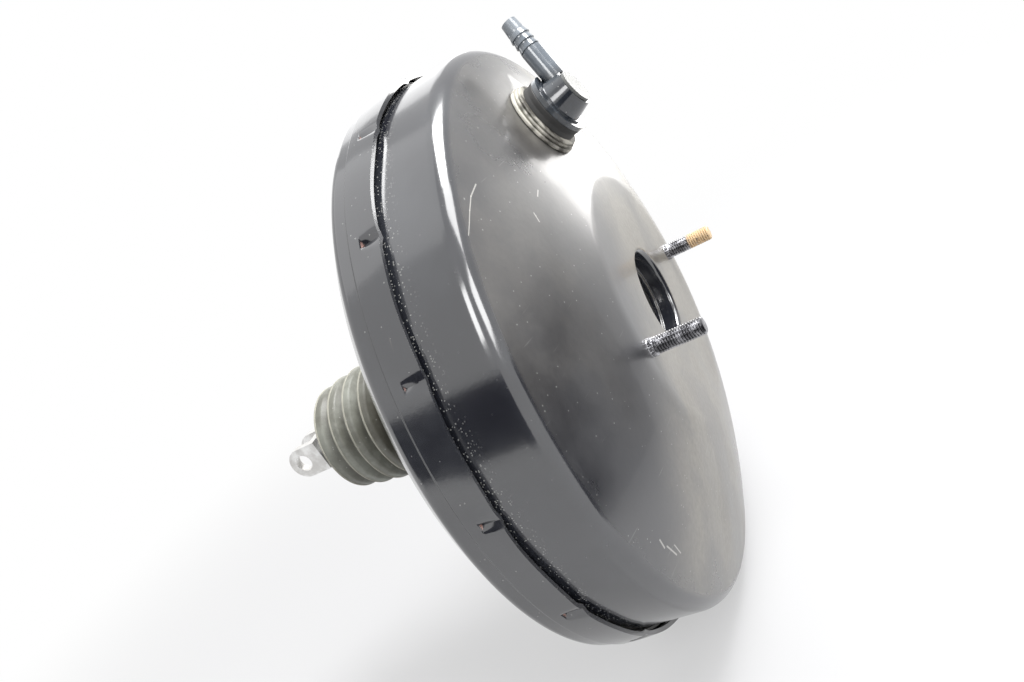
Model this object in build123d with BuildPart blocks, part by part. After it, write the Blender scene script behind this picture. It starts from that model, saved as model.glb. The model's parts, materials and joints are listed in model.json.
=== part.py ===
"""Single-diaphragm vacuum brake booster, in millimetres.

+X runs along the booster's axis towards the master cylinder, +Z is up as installed, and the
origin is the centre of the face that bolts to the bulkhead.
"""
from build123d import *
from math import asin, cos, radians, sin, sqrt
import os

os.makedirs("parts", exist_ok=True)

# ---- Shells -------------------------------------------------------------------------------
SHEET = 2.0                 # pressed steel thickness
BAND_R = 150.0              # outside radius of the rear shell's crimping band
BAND_LENGTH = 15.0          # band, from its step to its free edge
BAND_STEP = 1.2             # how far the band is larger than the wall behind it
REAR_WALL_LENGTH = 7.0      # wall behind the band's step
REAR_CORNER = 5.0           # bend between the rear wall and the rear cone
REAR_DEPTH = 54.0           # bulkhead face to the band's free edge
REAR_CONE_RISE = 15.0       # rear cone, from its foot to its edge, along the axis
REAR_CONE_INSET = 12.0      # rear cone's edge, inward from the band
MOUNT_FACE_R = 66.0         # flat face against the bulkhead
MOUNT_STEP = 8.0            # height and width of the step round that face
NECK_LENGTH = 34.0          # neck, behind the bulkhead face
BEND = 3.0                  # small bends of the pressed sheet

FRONT_DEPTH = 53.0          # band's free edge to the master cylinder face
FRONT_CORNER = 9.0          # rounded edge between wall and dome
FLANGE_GAP = 0.4            # front shell's flange, clear of the band's bore
FLANGE_WIDTH = 2.1          # flange, outward from the front shell's wall
FLANGE_R = BAND_R - SHEET - FLANGE_GAP
FRONT_WALL_R = FLANGE_R - FLANGE_WIDTH
FLANGE_DROP = 6.0           # band's free edge down to the flange
HUB_R = 66.0                # flat hub that carries the master cylinder
DOME_RADIUS = 380.0         # the dome is part of a sphere
HUB_BLEND = 40.0            # soft edge between hub and dome
PILOT_R = 23.0              # pilot bore for the master cylinder's spigot
PILOT_DEPTH = 9.0           # length of the rolled collar
PILOT_BEND = 2.5            # rolled lip of the collar
COLLAR_LIP = 2.5            # inward lip at the collar's inner end

LANCE_COUNT = 16            # pressed-in locking tongues round the band
LANCE_WIDTH = 9.0
LANCE_PRESS = 1.6           # how deep each tongue is pushed in
LANCE_SLOT = 2.0            # opening cut beside each tongue

# ---- Fixings ------------------------------------------------------------------------------
STUD_R = 4.0                # M8 studs
STUD_HEAD_R = 7.0
STUD_HEAD_H = 3.0
STUD_SHANK_R = 4.5          # serrated shank, pressed into the sheet
FRONT_STUD_SPACING = 114.0  # two front studs, in line with Y
FRONT_STUD_PROUD = 25.5
REAR_STUD_SPACING_Y = 84.0  # four rear studs on a rectangle
REAR_STUD_SPACING_Z = 66.0
REAR_STUD_PROUD = 28.0
STUD_TIP = 0.8              # chamfer on a stud's end
STIFFENER = 3.0             # front stiffener's thickness
REAR_STIFFENER = 2.5
STIFFENER_EDGE = 4.0        # stiffeners end this far inside the flat faces

# ---- Power piston and valve ---------------------------------------------------------------
TUBE_R = 20.5               # valve body's rear tube
SEAL_SPACE = 6.5            # neck's bore, outward from the valve body's tube
NECK_R = TUBE_R + SEAL_SPACE + SHEET    # outside radius of the rear neck
TUBE_REAR = 62.0            # tube's end, behind the bulkhead face
BORE_R = 15.5               # bore for the valve parts and the filter
HEAD_R = 44.0               # valve body's head
HEAD_GAP = 10.0             # rear shell's inside to the head
HEAD_H = 5.0
BOSS_R = 24.0               # front boss of the valve body
BOSS_H = 15.0
VACUUM_SEAT_R = 11.2        # opening inside the vacuum seat
VACUUM_SEAT_BACK = 5.0      # seat, behind the bulkhead face
COUNTERBORE_FRONT = 6.0     # end of the wide bore, ahead of the bulkhead face
PLUNGER_R = 7.0
PLUNGER_SEAT_R = 10.4       # air seat on the plunger
PLUNGER_SEAT_H = 2.0
SKIRT_R = 7.2               # plunger's ball socket
SKIRT_LENGTH = 9.0
PLUNGER_NECK_R = 4.6
PLUNGER_TRAVEL = 2.5
KEY_THICKNESS = 2.0
KEY_WIDTH = 11.0
KEY_BACK = 9.0              # stop key's rear face, ahead of the bulkhead face
VALVE_GAP = 0.6             # poppet stands off the vacuum seat at rest
BALL_R = 5.0
ROD_R = 5.0                 # input rod, M10 at its end
ROD_NECK_R = 3.2
REACTION_R = 13.0
REACTION_H = 4.0
OUTPUT_ROD_R = 5.5
OUTPUT_CUP_H = 3.9
OUTPUT_TIP_BACK = 9.0       # output screw's tip, inside the master cylinder face
SCREW_R = 3.0
SCREW_FLATS = 9.0           # output screw's head, across flats
SCREW_HEAD_H = 4.0
SCREW_TIP_H = 3.0
SCREW_TIP_R = 4.0
SCREW_GRIP = 12.0           # screwed into the output rod
PLATE_SHEET = 1.5           # diaphragm plate
PLATE_FLAT_R = 60.0
LOBE_ROOM = 34.0            # band's outside, inward to the diaphragm plate
PLATE_R = BAND_R - LOBE_ROOM
PLATE_RISE = 7.5
PLATE_RIM = 5.5
DIAPHRAGM = 1.5             # rubber thickness
BEAD_WIDTH = 8.0            # outer bead, across
INNER_BEAD = 3.6
LOBE_RISE = 2.0             # top of the rolling lobe, ahead of the bead

# ---- Rear neck ----------------------------------------------------------------------------
SEAL_LENGTH = 8.0
FRONT_SEAL_H = 4.0          # seal round the output rod
GUIDE_LENGTH = 12.0
SEAL_CLIP = 1.5             # clip that holds the seal in the neck
NECK_INSET = 4.0            # guide bush, inside the neck's rear end

# ---- Poppet, springs, filter --------------------------------------------------------------
POPPET_R = 14.0
POPPET_HOLE_R = 8.0
POPPET_FACE = 2.1
POPPET_WALL = 1.4
POPPET_LENGTH = 16.4
POPPET_BEAD = 3.0
RETAINER_H = 2.0
RETAINER_SLEEVE = 0.8
POPPET_WIRE = 0.8
RETURN_WIRE = 1.4
RETURN_SPRING_R = 11.5
RETURN_LENGTH = 17.5
SPRING_SEAT_R = 13.4
SPRING_SEAT_H = 1.5
MAIN_WIRE = 3.6
MAIN_SPRING_R = 36.0
MAIN_TURNS = 7
FELT_H = 3.0
FILTER_H = 8.0
FILTER_HOLE_R = 8.5
FILTER_RING_H = 1.8

# ---- Boot, nut and clevis -----------------------------------------------------------------
BOOT_WALL = 2.2
BOOT_FOLDS = 5
BOOT_PITCH = 12.0           # from one fold to the next
BOOT_CREST_R = 35.5         # largest fold
BOOT_TAIL_R = 31.0          # last fold, by the clevis
BOOT_VALLEY_R = 27.5
BOOT_ROOT_LENGTH = 11.0     # cuff on the neck
BOOT_TAIL_CUFF = 9.3
NUT_FLATS = 16.0
NUT_H = 4.5
CLEVIS_BASE = 5.0
CLEVIS_PIN_R = 5.2
CLEVIS_PIN_BACK = 9.0       # pin's axis behind the clevis base
CLEVIS_EAR_R = 9.5
CLEVIS_EAR = 5.0
CLEVIS_GAP = 12.0

# ---- Vacuum check valve -------------------------------------------------------------------
VALVE_INSET = 45.0          # check valve, inward from the front shell's wall
VALVE_RADIUS = FRONT_WALL_R - VALVE_INSET
GROMMET_R = 19.0            # outer lip
GROMMET_LIP = 1.5
GROMMET_SLEEVE_R = 15.4
GROMMET_SLEEVE_H = 5.4
GROMMET_HOLE_R = 14.5       # hole in the front shell
GROMMET_INNER_R = 17.0
GROMMET_INNER_H = 3.0
GROMMET_SINK = 0.25         # lip pressed down past the dome's crest
STEM_R = 10.0
STEM_BACK = 12.0
VALVE_FLANGE_R = 15.3
VALVE_FLANGE_H = 2.4
VALVE_NECK_R = 12.4
VALVE_NECK_H = 0.9
VALVE_HEAD_R = 11.2
VALVE_HEAD_TOP_R = 9.4
VALVE_HEAD_H = 8.6
CAP_R = 8.3
CAP_H = 1.3
CAP_PLUG_H = 3.0
CHAMBER_R = 7.0
CHAMBER_BACK = 2.0          # valve seat, inside the dome
INLET_R = 3.5
DISC_R = 6.0
DISC_H = 1.5
DISC_SPRING_R = 4.0
DISC_WIRE = 0.6
NOZZLE_R = 5.0
NOZZLE_BORE_R = 3.0
NOZZLE_LENGTH = 42.8        # from the valve's axis to the nozzle's end
NOZZLE_RISE = 4.4           # nozzle's axis above the head's foot
NOZZLE_TURN = 17.0          # degrees that the nozzle leans from straight up towards +Y
NOZZLE_START = 8.5          # nozzle's inner end, inside the head's wall
NOZZLE_ROOT_R = 5.15        # nozzle where it leaves the head
NOZZLE_ROOT = 16.0          # end of that root, from the valve's axis
BARB_R = 4.95               # barbs stay inside the hose's bore on the nozzle's shank
BARB_FOOT_R = 4.3           # grooves between the barbs
BARB_GAP = 0.8              # groove behind the first barb
BARB_H = 2.6
BARB_PITCH = 3.4
BARB_COUNT = 3
TIP_LENGTH = 5.5
TIP_R = 3.9

# ---- Clearances ---------------------------------------------------------------------------
RUNNING = 0.05              # sliding and turning fits
SNUG = 0.1                  # pieces pushed in by hand
SOFT = 0.3                  # rubber beside metal
STAND_OFF = 0.5             # pieces that only pass each other

# ---- Stations along X ---------------------------------------------------------------------
SEAM_X = REAR_DEPTH
HUB_X = SEAM_X + FRONT_DEPTH
BAND_STEP_X = SEAM_X - BAND_LENGTH
REAR_WALL_X = BAND_STEP_X - REAR_WALL_LENGTH
FLANGE_X = SEAM_X - FLANGE_DROP
HEAD_X = SHEET + HEAD_GAP
PLATE_X = HEAD_X + HEAD_H
BOSS_X = PLATE_X + BOSS_H
REACTION_X = BOSS_X - REACTION_H - OUTPUT_CUP_H - SNUG
CUP_X = REACTION_X + REACTION_H
TIP_X = HUB_X - OUTPUT_TIP_BACK
SCREW_HEAD_X = TIP_X - SCREW_TIP_H - SCREW_HEAD_H
SEAT_X = -VACUUM_SEAT_BACK
POPPET_X = SEAT_X - VALVE_GAP
BALL_X = POPPET_X - SKIRT_LENGTH + STAND_OFF + BALL_R / 2
POPPET_END_X = POPPET_X - POPPET_LENGTH
RETAINER_X = POPPET_END_X - RETAINER_H
SPRING_SEAT_X = RETAINER_X - RETURN_LENGTH
FILTER_RING_X = -TUBE_REAR + STAND_OFF
FILTER_X = FILTER_RING_X + FILTER_RING_H + SNUG
FELT_X = FILTER_X + FILTER_H
BOOT_ROOT_X = -NECK_LENGTH
BOOT_TAIL_X = BOOT_ROOT_X - (BOOT_FOLDS + 0.3) * BOOT_PITCH
NUT_X = BOOT_TAIL_X - BOOT_TAIL_CUFF - STAND_OFF - NUT_H
CLEVIS_X = NUT_X - CLEVIS_BASE
PIN_X = CLEVIS_X - CLEVIS_PIN_BACK


def dome_x(r, depth=0.0):
    """Station of the dome at radius r, on its outside or a depth below it."""
    centre_x = HUB_X - sqrt(DOME_RADIUS**2 - HUB_R**2)
    return centre_x + sqrt((DOME_RADIUS - depth) ** 2 - r**2)


def shifted(points, distance):
    """The open line moved to its left by distance, with its corners kept sharp."""
    moved = []
    for index, (x, r) in enumerate(points):
        normals = []
        for low in (index - 1, index):
            if 0 <= low < len(points) - 1:
                along_x = points[low + 1][0] - points[low][0]
                along_r = points[low + 1][1] - points[low][1]
                length = sqrt(along_x**2 + along_r**2)
                normals.append((-along_r / length, along_x / length))
        nx = sum(n[0] for n in normals) / len(normals)
        nr = sum(n[1] for n in normals) / len(normals)
        scale = distance / (nx**2 + nr**2)
        moved.append((x + nx * scale, r + nr * scale))
    return moved


def finish(piece, name):
    """Label one sub-part and write its STEP file."""
    piece.part.label = name
    export_step(piece.part, f"parts/{name}.step")


def turned(points, name, bends=None, sheet=None):
    """A turned or pressed round piece: a section in (x, radius), spun about X."""
    with BuildPart() as piece:
        with BuildSketch(Plane.XY):
            with BuildLine():
                if sheet is None:
                    Polyline(*points, close=True)
                else:
                    FilletPolyline(*points, radius=bends)
                    offset(amount=sheet, side=Side.RIGHT)
            make_face()
        revolve(axis=Axis.X)
    finish(piece, name)


def ring(x_low, x_high, r_in, r_out, name):
    """A plain ring between two stations."""
    turned([(x_low, r_in), (x_high, r_in), (x_high, r_out), (x_low, r_out)], name)


def coil(start, axis, length, mean_r, wire_r, turns, name):
    """A compression spring that leaves start along axis."""
    with BuildPart() as piece:
        with BuildLine():
            path = Helix(pitch=length / turns, height=length, radius=mean_r, center=start, direction=axis)
        with BuildSketch(Plane(origin=path @ 0, z_dir=path % 0)):
            Circle(wire_r)
        sweep(is_frenet=True)
    finish(piece, name)


# ---- Front shell: flange, wall, rounded edge, dome, hub and rolled pilot collar --------------
DOME_SLOPE = asin(VALVE_RADIUS / DOME_RADIUS)
VALVE_PLANE = Plane(
    origin=(dome_x(VALVE_RADIUS), 0, VALVE_RADIUS),
    x_dir=(0, 1, 0),
    z_dir=(cos(DOME_SLOPE), 0, sin(DOME_SLOPE)),
)
collar_x = HUB_X - PILOT_DEPTH
collar_lip_r = PILOT_R - COLLAR_LIP
inner_wall_r = FRONT_WALL_R - SHEET
inner_hub_x = HUB_X - SHEET
dome_centre_x = dome_x(0) - DOME_RADIUS
inner_hub_r = sqrt((DOME_RADIUS - SHEET) ** 2 - (inner_hub_x - dome_centre_x) ** 2)
middle_r = (FRONT_WALL_R + HUB_R) / 2
front_outside = [
    (FLANGE_X - SHEET, FLANGE_R),
    (FLANGE_X, FLANGE_R),
    (FLANGE_X, FRONT_WALL_R),
    (dome_x(FRONT_WALL_R), FRONT_WALL_R),
]
front_pilot = [
    (HUB_X, HUB_R),
    (HUB_X, PILOT_R),
    (collar_x, PILOT_R),
    (collar_x, collar_lip_r),
    (collar_x - SHEET, collar_lip_r),
    (collar_x - SHEET, PILOT_R + SHEET),
    (inner_hub_x, PILOT_R + SHEET),
    (inner_hub_x, inner_hub_r),
]
front_inside = [
    (dome_x(inner_wall_r, SHEET), inner_wall_r),
    (FLANGE_X - SHEET, inner_wall_r),
    (FLANGE_X - SHEET, FLANGE_R),
]
front_bends = [
    (front_outside[2], SHEET / 2),
    (front_outside[3], FRONT_CORNER),
    (front_pilot[0], HUB_BLEND),
    (front_pilot[1], PILOT_BEND),
    (front_pilot[2], SHEET / 4),
    (front_pilot[5], SHEET),
    (front_pilot[6], PILOT_BEND - SHEET),
    (front_pilot[7], HUB_BLEND - SHEET),
    (front_inside[0], FRONT_CORNER - SHEET),
    (front_inside[1], SHEET),
]
front_stud_spots = [(FRONT_STUD_SPACING / 2, 0), (-FRONT_STUD_SPACING / 2, 0)]
with BuildPart() as front_shell:
    with BuildSketch(Plane.XY) as front_section:
        with BuildLine():
            Polyline(*front_outside)
            ThreePointArc(front_outside[-1], (dome_x(middle_r), middle_r), front_pilot[0])
            Polyline(*front_pilot)
            ThreePointArc(front_pilot[-1], (dome_x(middle_r, SHEET), middle_r), front_inside[0])
            Polyline(*front_inside)
        make_face()
        for spot, bend in front_bends:
            fillet(front_section.vertices().sort_by_distance(spot)[0], radius=bend)
    revolve(axis=Axis.X)
    with BuildSketch(VALVE_PLANE.offset(-3 * SHEET)):
        Circle(GROMMET_HOLE_R)
    extrude(amount=5 * SHEET, mode=Mode.SUBTRACT)
    with BuildSketch(Plane.YZ.offset(HUB_X - 2 * SHEET)):
        with Locations(*front_stud_spots):
            Circle(STUD_SHANK_R + SNUG)
    extrude(amount=4 * SHEET, mode=Mode.SUBTRACT)
finish(front_shell, "front_shell")

# ---- Rear shell: neck, bulkhead face, step, cone, wall, band and locking tongues --------------
cone_edge_r = BAND_R - REAR_CONE_INSET
cone_foot_r = MOUNT_FACE_R + MOUNT_STEP
rear_points = [
    (-NECK_LENGTH, NECK_R),
    (0, NECK_R),
    (0, MOUNT_FACE_R),
    (MOUNT_STEP, cone_foot_r),
    (MOUNT_STEP + REAR_CONE_RISE, cone_edge_r),
    (REAR_WALL_X, BAND_R - BAND_STEP),
    (BAND_STEP_X, BAND_R - BAND_STEP),
    (BAND_STEP_X + BAND_STEP, BAND_R),
    (SEAM_X, BAND_R),
]
tongue_x = FLANGE_X + LANCE_SLOT / 10
tongue_length = SEAM_X - tongue_x
rear_studs = [
    (y * REAR_STUD_SPACING_Y / 2, z * REAR_STUD_SPACING_Z / 2) for y in (-1, 1) for z in (-1, 1)
]
with BuildPart() as rear_shell:
    with BuildSketch(Plane.XY):
        with BuildLine():
            FilletPolyline(*rear_points, radius=[BEND, BEND, BEND, REAR_CORNER, REAR_CORNER, 0.6, 0.6])
            offset(amount=SHEET, side=Side.RIGHT)
        make_face()
    revolve(axis=Axis.X)
    with BuildSketch(Plane.YZ.offset(-SHEET)):
        with Locations(*rear_studs):
            Circle(STUD_SHANK_R + SNUG)
    extrude(amount=3 * SHEET, mode=Mode.SUBTRACT)
    with BuildSketch(Plane.YZ.offset(tongue_x)):
        with PolarLocations(BAND_R - SHEET - LANCE_PRESS / 2, LANCE_COUNT):
            Rectangle(LANCE_PRESS + SHEET / 2, LANCE_WIDTH)
    extrude(amount=tongue_length)
    with BuildSketch(Plane.YZ.offset(tongue_x)):
        with PolarLocations(BAND_R, LANCE_COUNT):
            Rectangle(2 * LANCE_PRESS, LANCE_WIDTH - SHEET)
    extrude(amount=tongue_length, mode=Mode.SUBTRACT)
    with BuildSketch(Plane.YZ.offset(tongue_x - LANCE_SLOT)):
        with PolarLocations(BAND_R - SHEET / 2, LANCE_COUNT):
            Rectangle(2 * SHEET, LANCE_WIDTH)
    extrude(amount=LANCE_SLOT, mode=Mode.SUBTRACT)
finish(rear_shell, "rear_shell")

# ---- Stiffeners and studs --------------------------------------------------------------------
stiffener_x = HUB_X - SHEET - STIFFENER
with BuildPart() as front_stiffener:
    with BuildSketch(Plane.YZ.offset(stiffener_x)):
        Circle(HUB_R - STIFFENER_EDGE)
        Circle(PILOT_R + 2 * SHEET, mode=Mode.SUBTRACT)
        with Locations(*front_stud_spots):
            Circle(STUD_SHANK_R + SNUG, mode=Mode.SUBTRACT)
    extrude(amount=STIFFENER)
finish(front_stiffener, "front_stiffener_plate")

with BuildPart() as front_studs:
    with BuildSketch(Plane.YZ.offset(stiffener_x - STUD_HEAD_H)):
        with Locations(*front_stud_spots):
            Circle(STUD_HEAD_R)
    extrude(amount=STUD_HEAD_H)
    with BuildSketch(Plane.YZ.offset(stiffener_x)):
        with Locations(*front_stud_spots):
            Circle(STUD_SHANK_R)
    extrude(amount=HUB_X - stiffener_x)
    with BuildSketch(Plane.YZ.offset(HUB_X)):
        with Locations(*front_stud_spots):
            Circle(STUD_R)
    extrude(amount=FRONT_STUD_PROUD)
    chamfer(front_studs.edges().group_by(Axis.X)[-1], length=STUD_TIP)
finish(front_studs, "master_cylinder_studs")

with BuildPart() as rear_stiffener:
    with BuildSketch(Plane.YZ.offset(SHEET)):
        Circle(MOUNT_FACE_R - STIFFENER_EDGE)
        Circle(NECK_R + BEND, mode=Mode.SUBTRACT)
        with Locations(*rear_studs):
            Circle(STUD_SHANK_R + SNUG, mode=Mode.SUBTRACT)
    extrude(amount=REAR_STIFFENER)
finish(rear_stiffener, "rear_stiffener_plate")

with BuildPart() as bulkhead_studs:
    with BuildSketch(Plane.YZ.offset(-REAR_STUD_PROUD)):
        with Locations(*rear_studs):
            Circle(STUD_R)
    extrude(amount=REAR_STUD_PROUD)
    chamfer(bulkhead_studs.edges().group_by(Axis.X)[0], length=STUD_TIP)
    with BuildSketch(Plane.YZ):
        with Locations(*rear_studs):
            Circle(STUD_SHANK_R)
    extrude(amount=SHEET + REAR_STIFFENER)
    with BuildSketch(Plane.YZ.offset(SHEET + REAR_STIFFENER)):
        with Locations(*rear_studs):
            Circle(STUD_HEAD_R)
    extrude(amount=STUD_HEAD_H)
finish(bulkhead_studs, "bulkhead_studs")

# ---- Neck: guide bush, body seal and its clip -------------------------------------------------
neck_bore = NECK_R - SHEET
guide_x = -NECK_LENGTH + NECK_INSET
seal_x = guide_x + GUIDE_LENGTH + SNUG
ring(guide_x, guide_x + GUIDE_LENGTH, TUBE_R + RUNNING, neck_bore, "rear_guide_bush")
turned(
    [
        (seal_x, neck_bore - SNUG),
        (seal_x, TUBE_R + SOFT),
        (seal_x + SEAL_LENGTH / 4, TUBE_R + SNUG),
        (seal_x + SEAL_LENGTH / 2, TUBE_R + SOFT),
        (seal_x + SEAL_LENGTH / 2, TUBE_R + 2),
        (seal_x + SEAL_LENGTH, TUBE_R + 2),
        (seal_x + SEAL_LENGTH, neck_bore - SNUG),
    ],
    "rear_body_seal",
)
clip_x = seal_x + SEAL_LENGTH + SNUG
ring(clip_x, clip_x + SEAL_CLIP, TUBE_R + 2, neck_bore, "seal_retainer")

# ---- Front vacuum seal round the output rod, in its cup behind the pilot collar ----------------
collar_back_x = collar_x - SHEET
seal_r = PILOT_R + SHEET
seal_cup_wall = SHEET / 2
front_seal_x = SCREW_HEAD_X - STAND_OFF - FRONT_SEAL_H
ring(front_seal_x, front_seal_x + FRONT_SEAL_H, OUTPUT_ROD_R + SOFT, seal_r, "front_vacuum_seal")
turned(
    [
        (front_seal_x - seal_cup_wall, seal_r / 2),
        (front_seal_x, seal_r / 2),
        (front_seal_x, seal_r + RUNNING),
        (collar_back_x + 2 * SHEET, seal_r + RUNNING),
        (collar_back_x + 2 * SHEET, seal_r + seal_cup_wall),
        (front_seal_x - seal_cup_wall, seal_r + seal_cup_wall),
    ],
    "front_seal_cup",
)

# ---- Valve body: the power piston's moulded centre ---------------------------------------------
seat_lip = 1.2
plunger_bore = PLUNGER_R + RUNNING
boss_bore = REACTION_R + SNUG
body_points = [
    (-TUBE_REAR, TUBE_R),
    (HEAD_X, TUBE_R),
    (HEAD_X, HEAD_R),
    (PLATE_X, HEAD_R),
    (PLATE_X, BOSS_R),
    (BOSS_X, BOSS_R),
    (BOSS_X, boss_bore),
    (REACTION_X, boss_bore),
    (REACTION_X, plunger_bore),
    (COUNTERBORE_FRONT, plunger_bore),
    (COUNTERBORE_FRONT, VACUUM_SEAT_R),
    (SEAT_X, VACUUM_SEAT_R),
    (SEAT_X, VACUUM_SEAT_R + seat_lip),
    (SEAT_X + seat_lip, VACUUM_SEAT_R + seat_lip),
    (SEAT_X + seat_lip, BORE_R),
    (-TUBE_REAR, BORE_R),
]
key_slot_height = KEY_THICKNESS + SNUG
with BuildPart() as valve_body:
    with BuildSketch(Plane.XY):
        with BuildLine():
            Polyline(*body_points, close=True)
        make_face()
    revolve(axis=Axis.X)
    with BuildSketch(Plane.YZ.offset(KEY_BACK - SNUG / 2)):
        with Locations((0, -TUBE_R)):
            Rectangle(KEY_WIDTH + SNUG, 2 * TUBE_R + 2 * PLUNGER_NECK_R)
    extrude(amount=key_slot_height, mode=Mode.SUBTRACT)
finish(valve_body, "valve_body")

# ---- Stop key: a fork that rides in the plunger's groove ---------------------------------------
with BuildPart() as stop_key:
    with BuildSketch(Plane.YZ.offset(KEY_BACK)):
        with Locations((0, -(TUBE_R - STAND_OFF) / 2)):
            Rectangle(KEY_WIDTH, TUBE_R - STAND_OFF)
        Circle(PLUNGER_NECK_R + STAND_OFF, mode=Mode.SUBTRACT)
    extrude(amount=KEY_THICKNESS)
finish(stop_key, "stop_key")

# ---- Air valve plunger: guide, groove, air seat and ball socket --------------------------------
groove_back = KEY_BACK - SNUG - PLUNGER_TRAVEL
groove_front = KEY_BACK + KEY_THICKNESS + SNUG
plunger_front = REACTION_X - PLUNGER_TRAVEL - SNUG
socket_r = BALL_R + RUNNING
plunger_points = [
    (POPPET_X - SKIRT_LENGTH, 0),
    (POPPET_X - SKIRT_LENGTH, SKIRT_R),
    (POPPET_X, SKIRT_R),
    (POPPET_X, PLUNGER_SEAT_R),
    (POPPET_X + PLUNGER_SEAT_H, PLUNGER_SEAT_R),
    (POPPET_X + PLUNGER_SEAT_H, PLUNGER_R),
    (groove_back, PLUNGER_R),
    (groove_back, PLUNGER_NECK_R),
    (groove_front, PLUNGER_NECK_R),
    (groove_front, PLUNGER_R),
    (plunger_front, PLUNGER_R),
    (plunger_front, 0),
]
with BuildPart() as plunger:
    with BuildSketch(Plane.XY):
        with BuildLine():
            Polyline(*plunger_points, close=True)
        make_face()
    revolve(axis=Axis.X)
    with Locations((BALL_X, 0, 0)):
        Sphere(socket_r, mode=Mode.SUBTRACT)
    with BuildSketch(Plane.YZ.offset(BALL_X)):
        Circle(ROD_NECK_R + STAND_OFF)
    extrude(amount=-SKIRT_LENGTH, mode=Mode.SUBTRACT)
finish(plunger, "air_valve_plunger")

# ---- Poppet with its retainer and springs ------------------------------------------------------
poppet_bead_r = BORE_R - SOFT
turned(
    [
        (POPPET_X - SNUG, POPPET_HOLE_R),
        (POPPET_X - SNUG, POPPET_R),
        (POPPET_END_X + POPPET_BEAD, POPPET_R),
        (POPPET_END_X + POPPET_BEAD, poppet_bead_r),
        (POPPET_END_X, poppet_bead_r),
        (POPPET_END_X, POPPET_R - POPPET_WALL),
        (POPPET_X - SNUG - POPPET_FACE, POPPET_R - POPPET_WALL),
        (POPPET_X - SNUG - POPPET_FACE, POPPET_HOLE_R),
    ],
    "poppet",
)
sleeve_r = POPPET_R - POPPET_WALL - SNUG
sleeve_front = POPPET_X - POPPET_LENGTH / 2
turned(
    [
        (RETAINER_X, sleeve_r - RETAINER_SLEEVE),
        (sleeve_front, sleeve_r - RETAINER_SLEEVE),
        (sleeve_front, sleeve_r),
        (POPPET_END_X - SNUG, sleeve_r),
        (POPPET_END_X - SNUG, BORE_R),
        (RETAINER_X, BORE_R),
    ],
    "poppet_retainer",
)
poppet_spring_r = sleeve_r - RETAINER_SLEEVE - SOFT - POPPET_WIRE / 2
poppet_spring_x = RETAINER_X + POPPET_WIRE
poppet_spring_length = POPPET_X - POPPET_FACE - POPPET_WIRE - poppet_spring_x
coil((poppet_spring_x, 0, 0), (1, 0, 0), poppet_spring_length, poppet_spring_r, POPPET_WIRE / 2, 5, "poppet_spring")
return_spring_length = RETURN_LENGTH - SPRING_SEAT_H - 2 * RETURN_WIRE
coil(
    (SPRING_SEAT_X + SPRING_SEAT_H + RETURN_WIRE, 0, 0),
    (1, 0, 0),
    return_spring_length,
    RETURN_SPRING_R,
    RETURN_WIRE / 2,
    4,
    "rod_return_spring",
)
ring(SPRING_SEAT_X, SPRING_SEAT_X + SPRING_SEAT_H, ROD_R + RUNNING, SPRING_SEAT_R, "rod_spring_seat")

# ---- Silencer felt, air filter and the ring that keeps them in the tube -------------------------
ring(FELT_X, FELT_X + FELT_H, FILTER_HOLE_R, BORE_R - SNUG, "silencer_felt")
ring(FILTER_X, FELT_X - SNUG, FILTER_HOLE_R, BORE_R - SNUG, "air_filter")
ring(FILTER_RING_X, FILTER_RING_X + FILTER_RING_H, FILTER_HOLE_R, BORE_R, "filter_retainer")

# ---- Input rod: ball, neck, shank and threaded end ----------------------------------------------
neck_end_x = BALL_X - 2 * BALL_R
with BuildPart() as input_rod:
    with Locations((BALL_X, 0, 0)):
        Sphere(BALL_R)
    with BuildSketch(Plane.YZ.offset(BALL_X)):
        Circle(ROD_NECK_R)
    extrude(amount=neck_end_x - BALL_X)
    with BuildSketch(Plane.YZ.offset(neck_end_x)):
        Circle(ROD_R)
    extrude(amount=CLEVIS_X - neck_end_x)
finish(input_rod, "input_rod")

# ---- Lock nut and clevis ------------------------------------------------------------------------
with BuildPart() as lock_nut:
    with BuildSketch(Plane.YZ.offset(NUT_X)):
        RegularPolygon(NUT_FLATS / 2, 6, major_radius=False)
        Circle(ROD_R + RUNNING, mode=Mode.SUBTRACT)
    extrude(amount=NUT_H)
finish(lock_nut, "lock_nut")

clevis_width = CLEVIS_GAP + 2 * CLEVIS_EAR
with BuildPart() as clevis:
    with BuildSketch(Plane.XZ.offset(-clevis_width / 2)):
        with Locations((PIN_X, 0)):
            Circle(CLEVIS_EAR_R)
        with Locations(((PIN_X + NUT_X) / 2, 0)):
            Rectangle(NUT_X - PIN_X, 2 * CLEVIS_EAR_R)
    extrude(amount=clevis_width)
    with BuildSketch(Plane.XZ.offset(-CLEVIS_GAP / 2)):
        with Locations((CLEVIS_X - 2 * CLEVIS_EAR_R, 0)):
            Rectangle(4 * CLEVIS_EAR_R, 3 * CLEVIS_EAR_R)
    extrude(amount=CLEVIS_GAP, mode=Mode.SUBTRACT)
    with BuildSketch(Plane.XZ.offset(-clevis_width)):
        with Locations((PIN_X, 0)):
            Circle(CLEVIS_PIN_R)
    extrude(amount=2 * clevis_width, mode=Mode.SUBTRACT)
    with BuildSketch(Plane.YZ.offset(NUT_X)):
        Circle(ROD_R + RUNNING)
    extrude(amount=-2 * CLEVIS_BASE, mode=Mode.SUBTRACT)
finish(clevis, "clevis")

# ---- Dust boot: cuff on the neck, folds, tail cuff on the rod -----------------------------------
def fold_crest(index):
    """Crest radius of one fold: the folds grow smaller towards the clevis."""
    share = index / (BOOT_FOLDS - 1)
    return BOOT_CREST_R - (BOOT_CREST_R - BOOT_TAIL_R) * share**2


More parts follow.
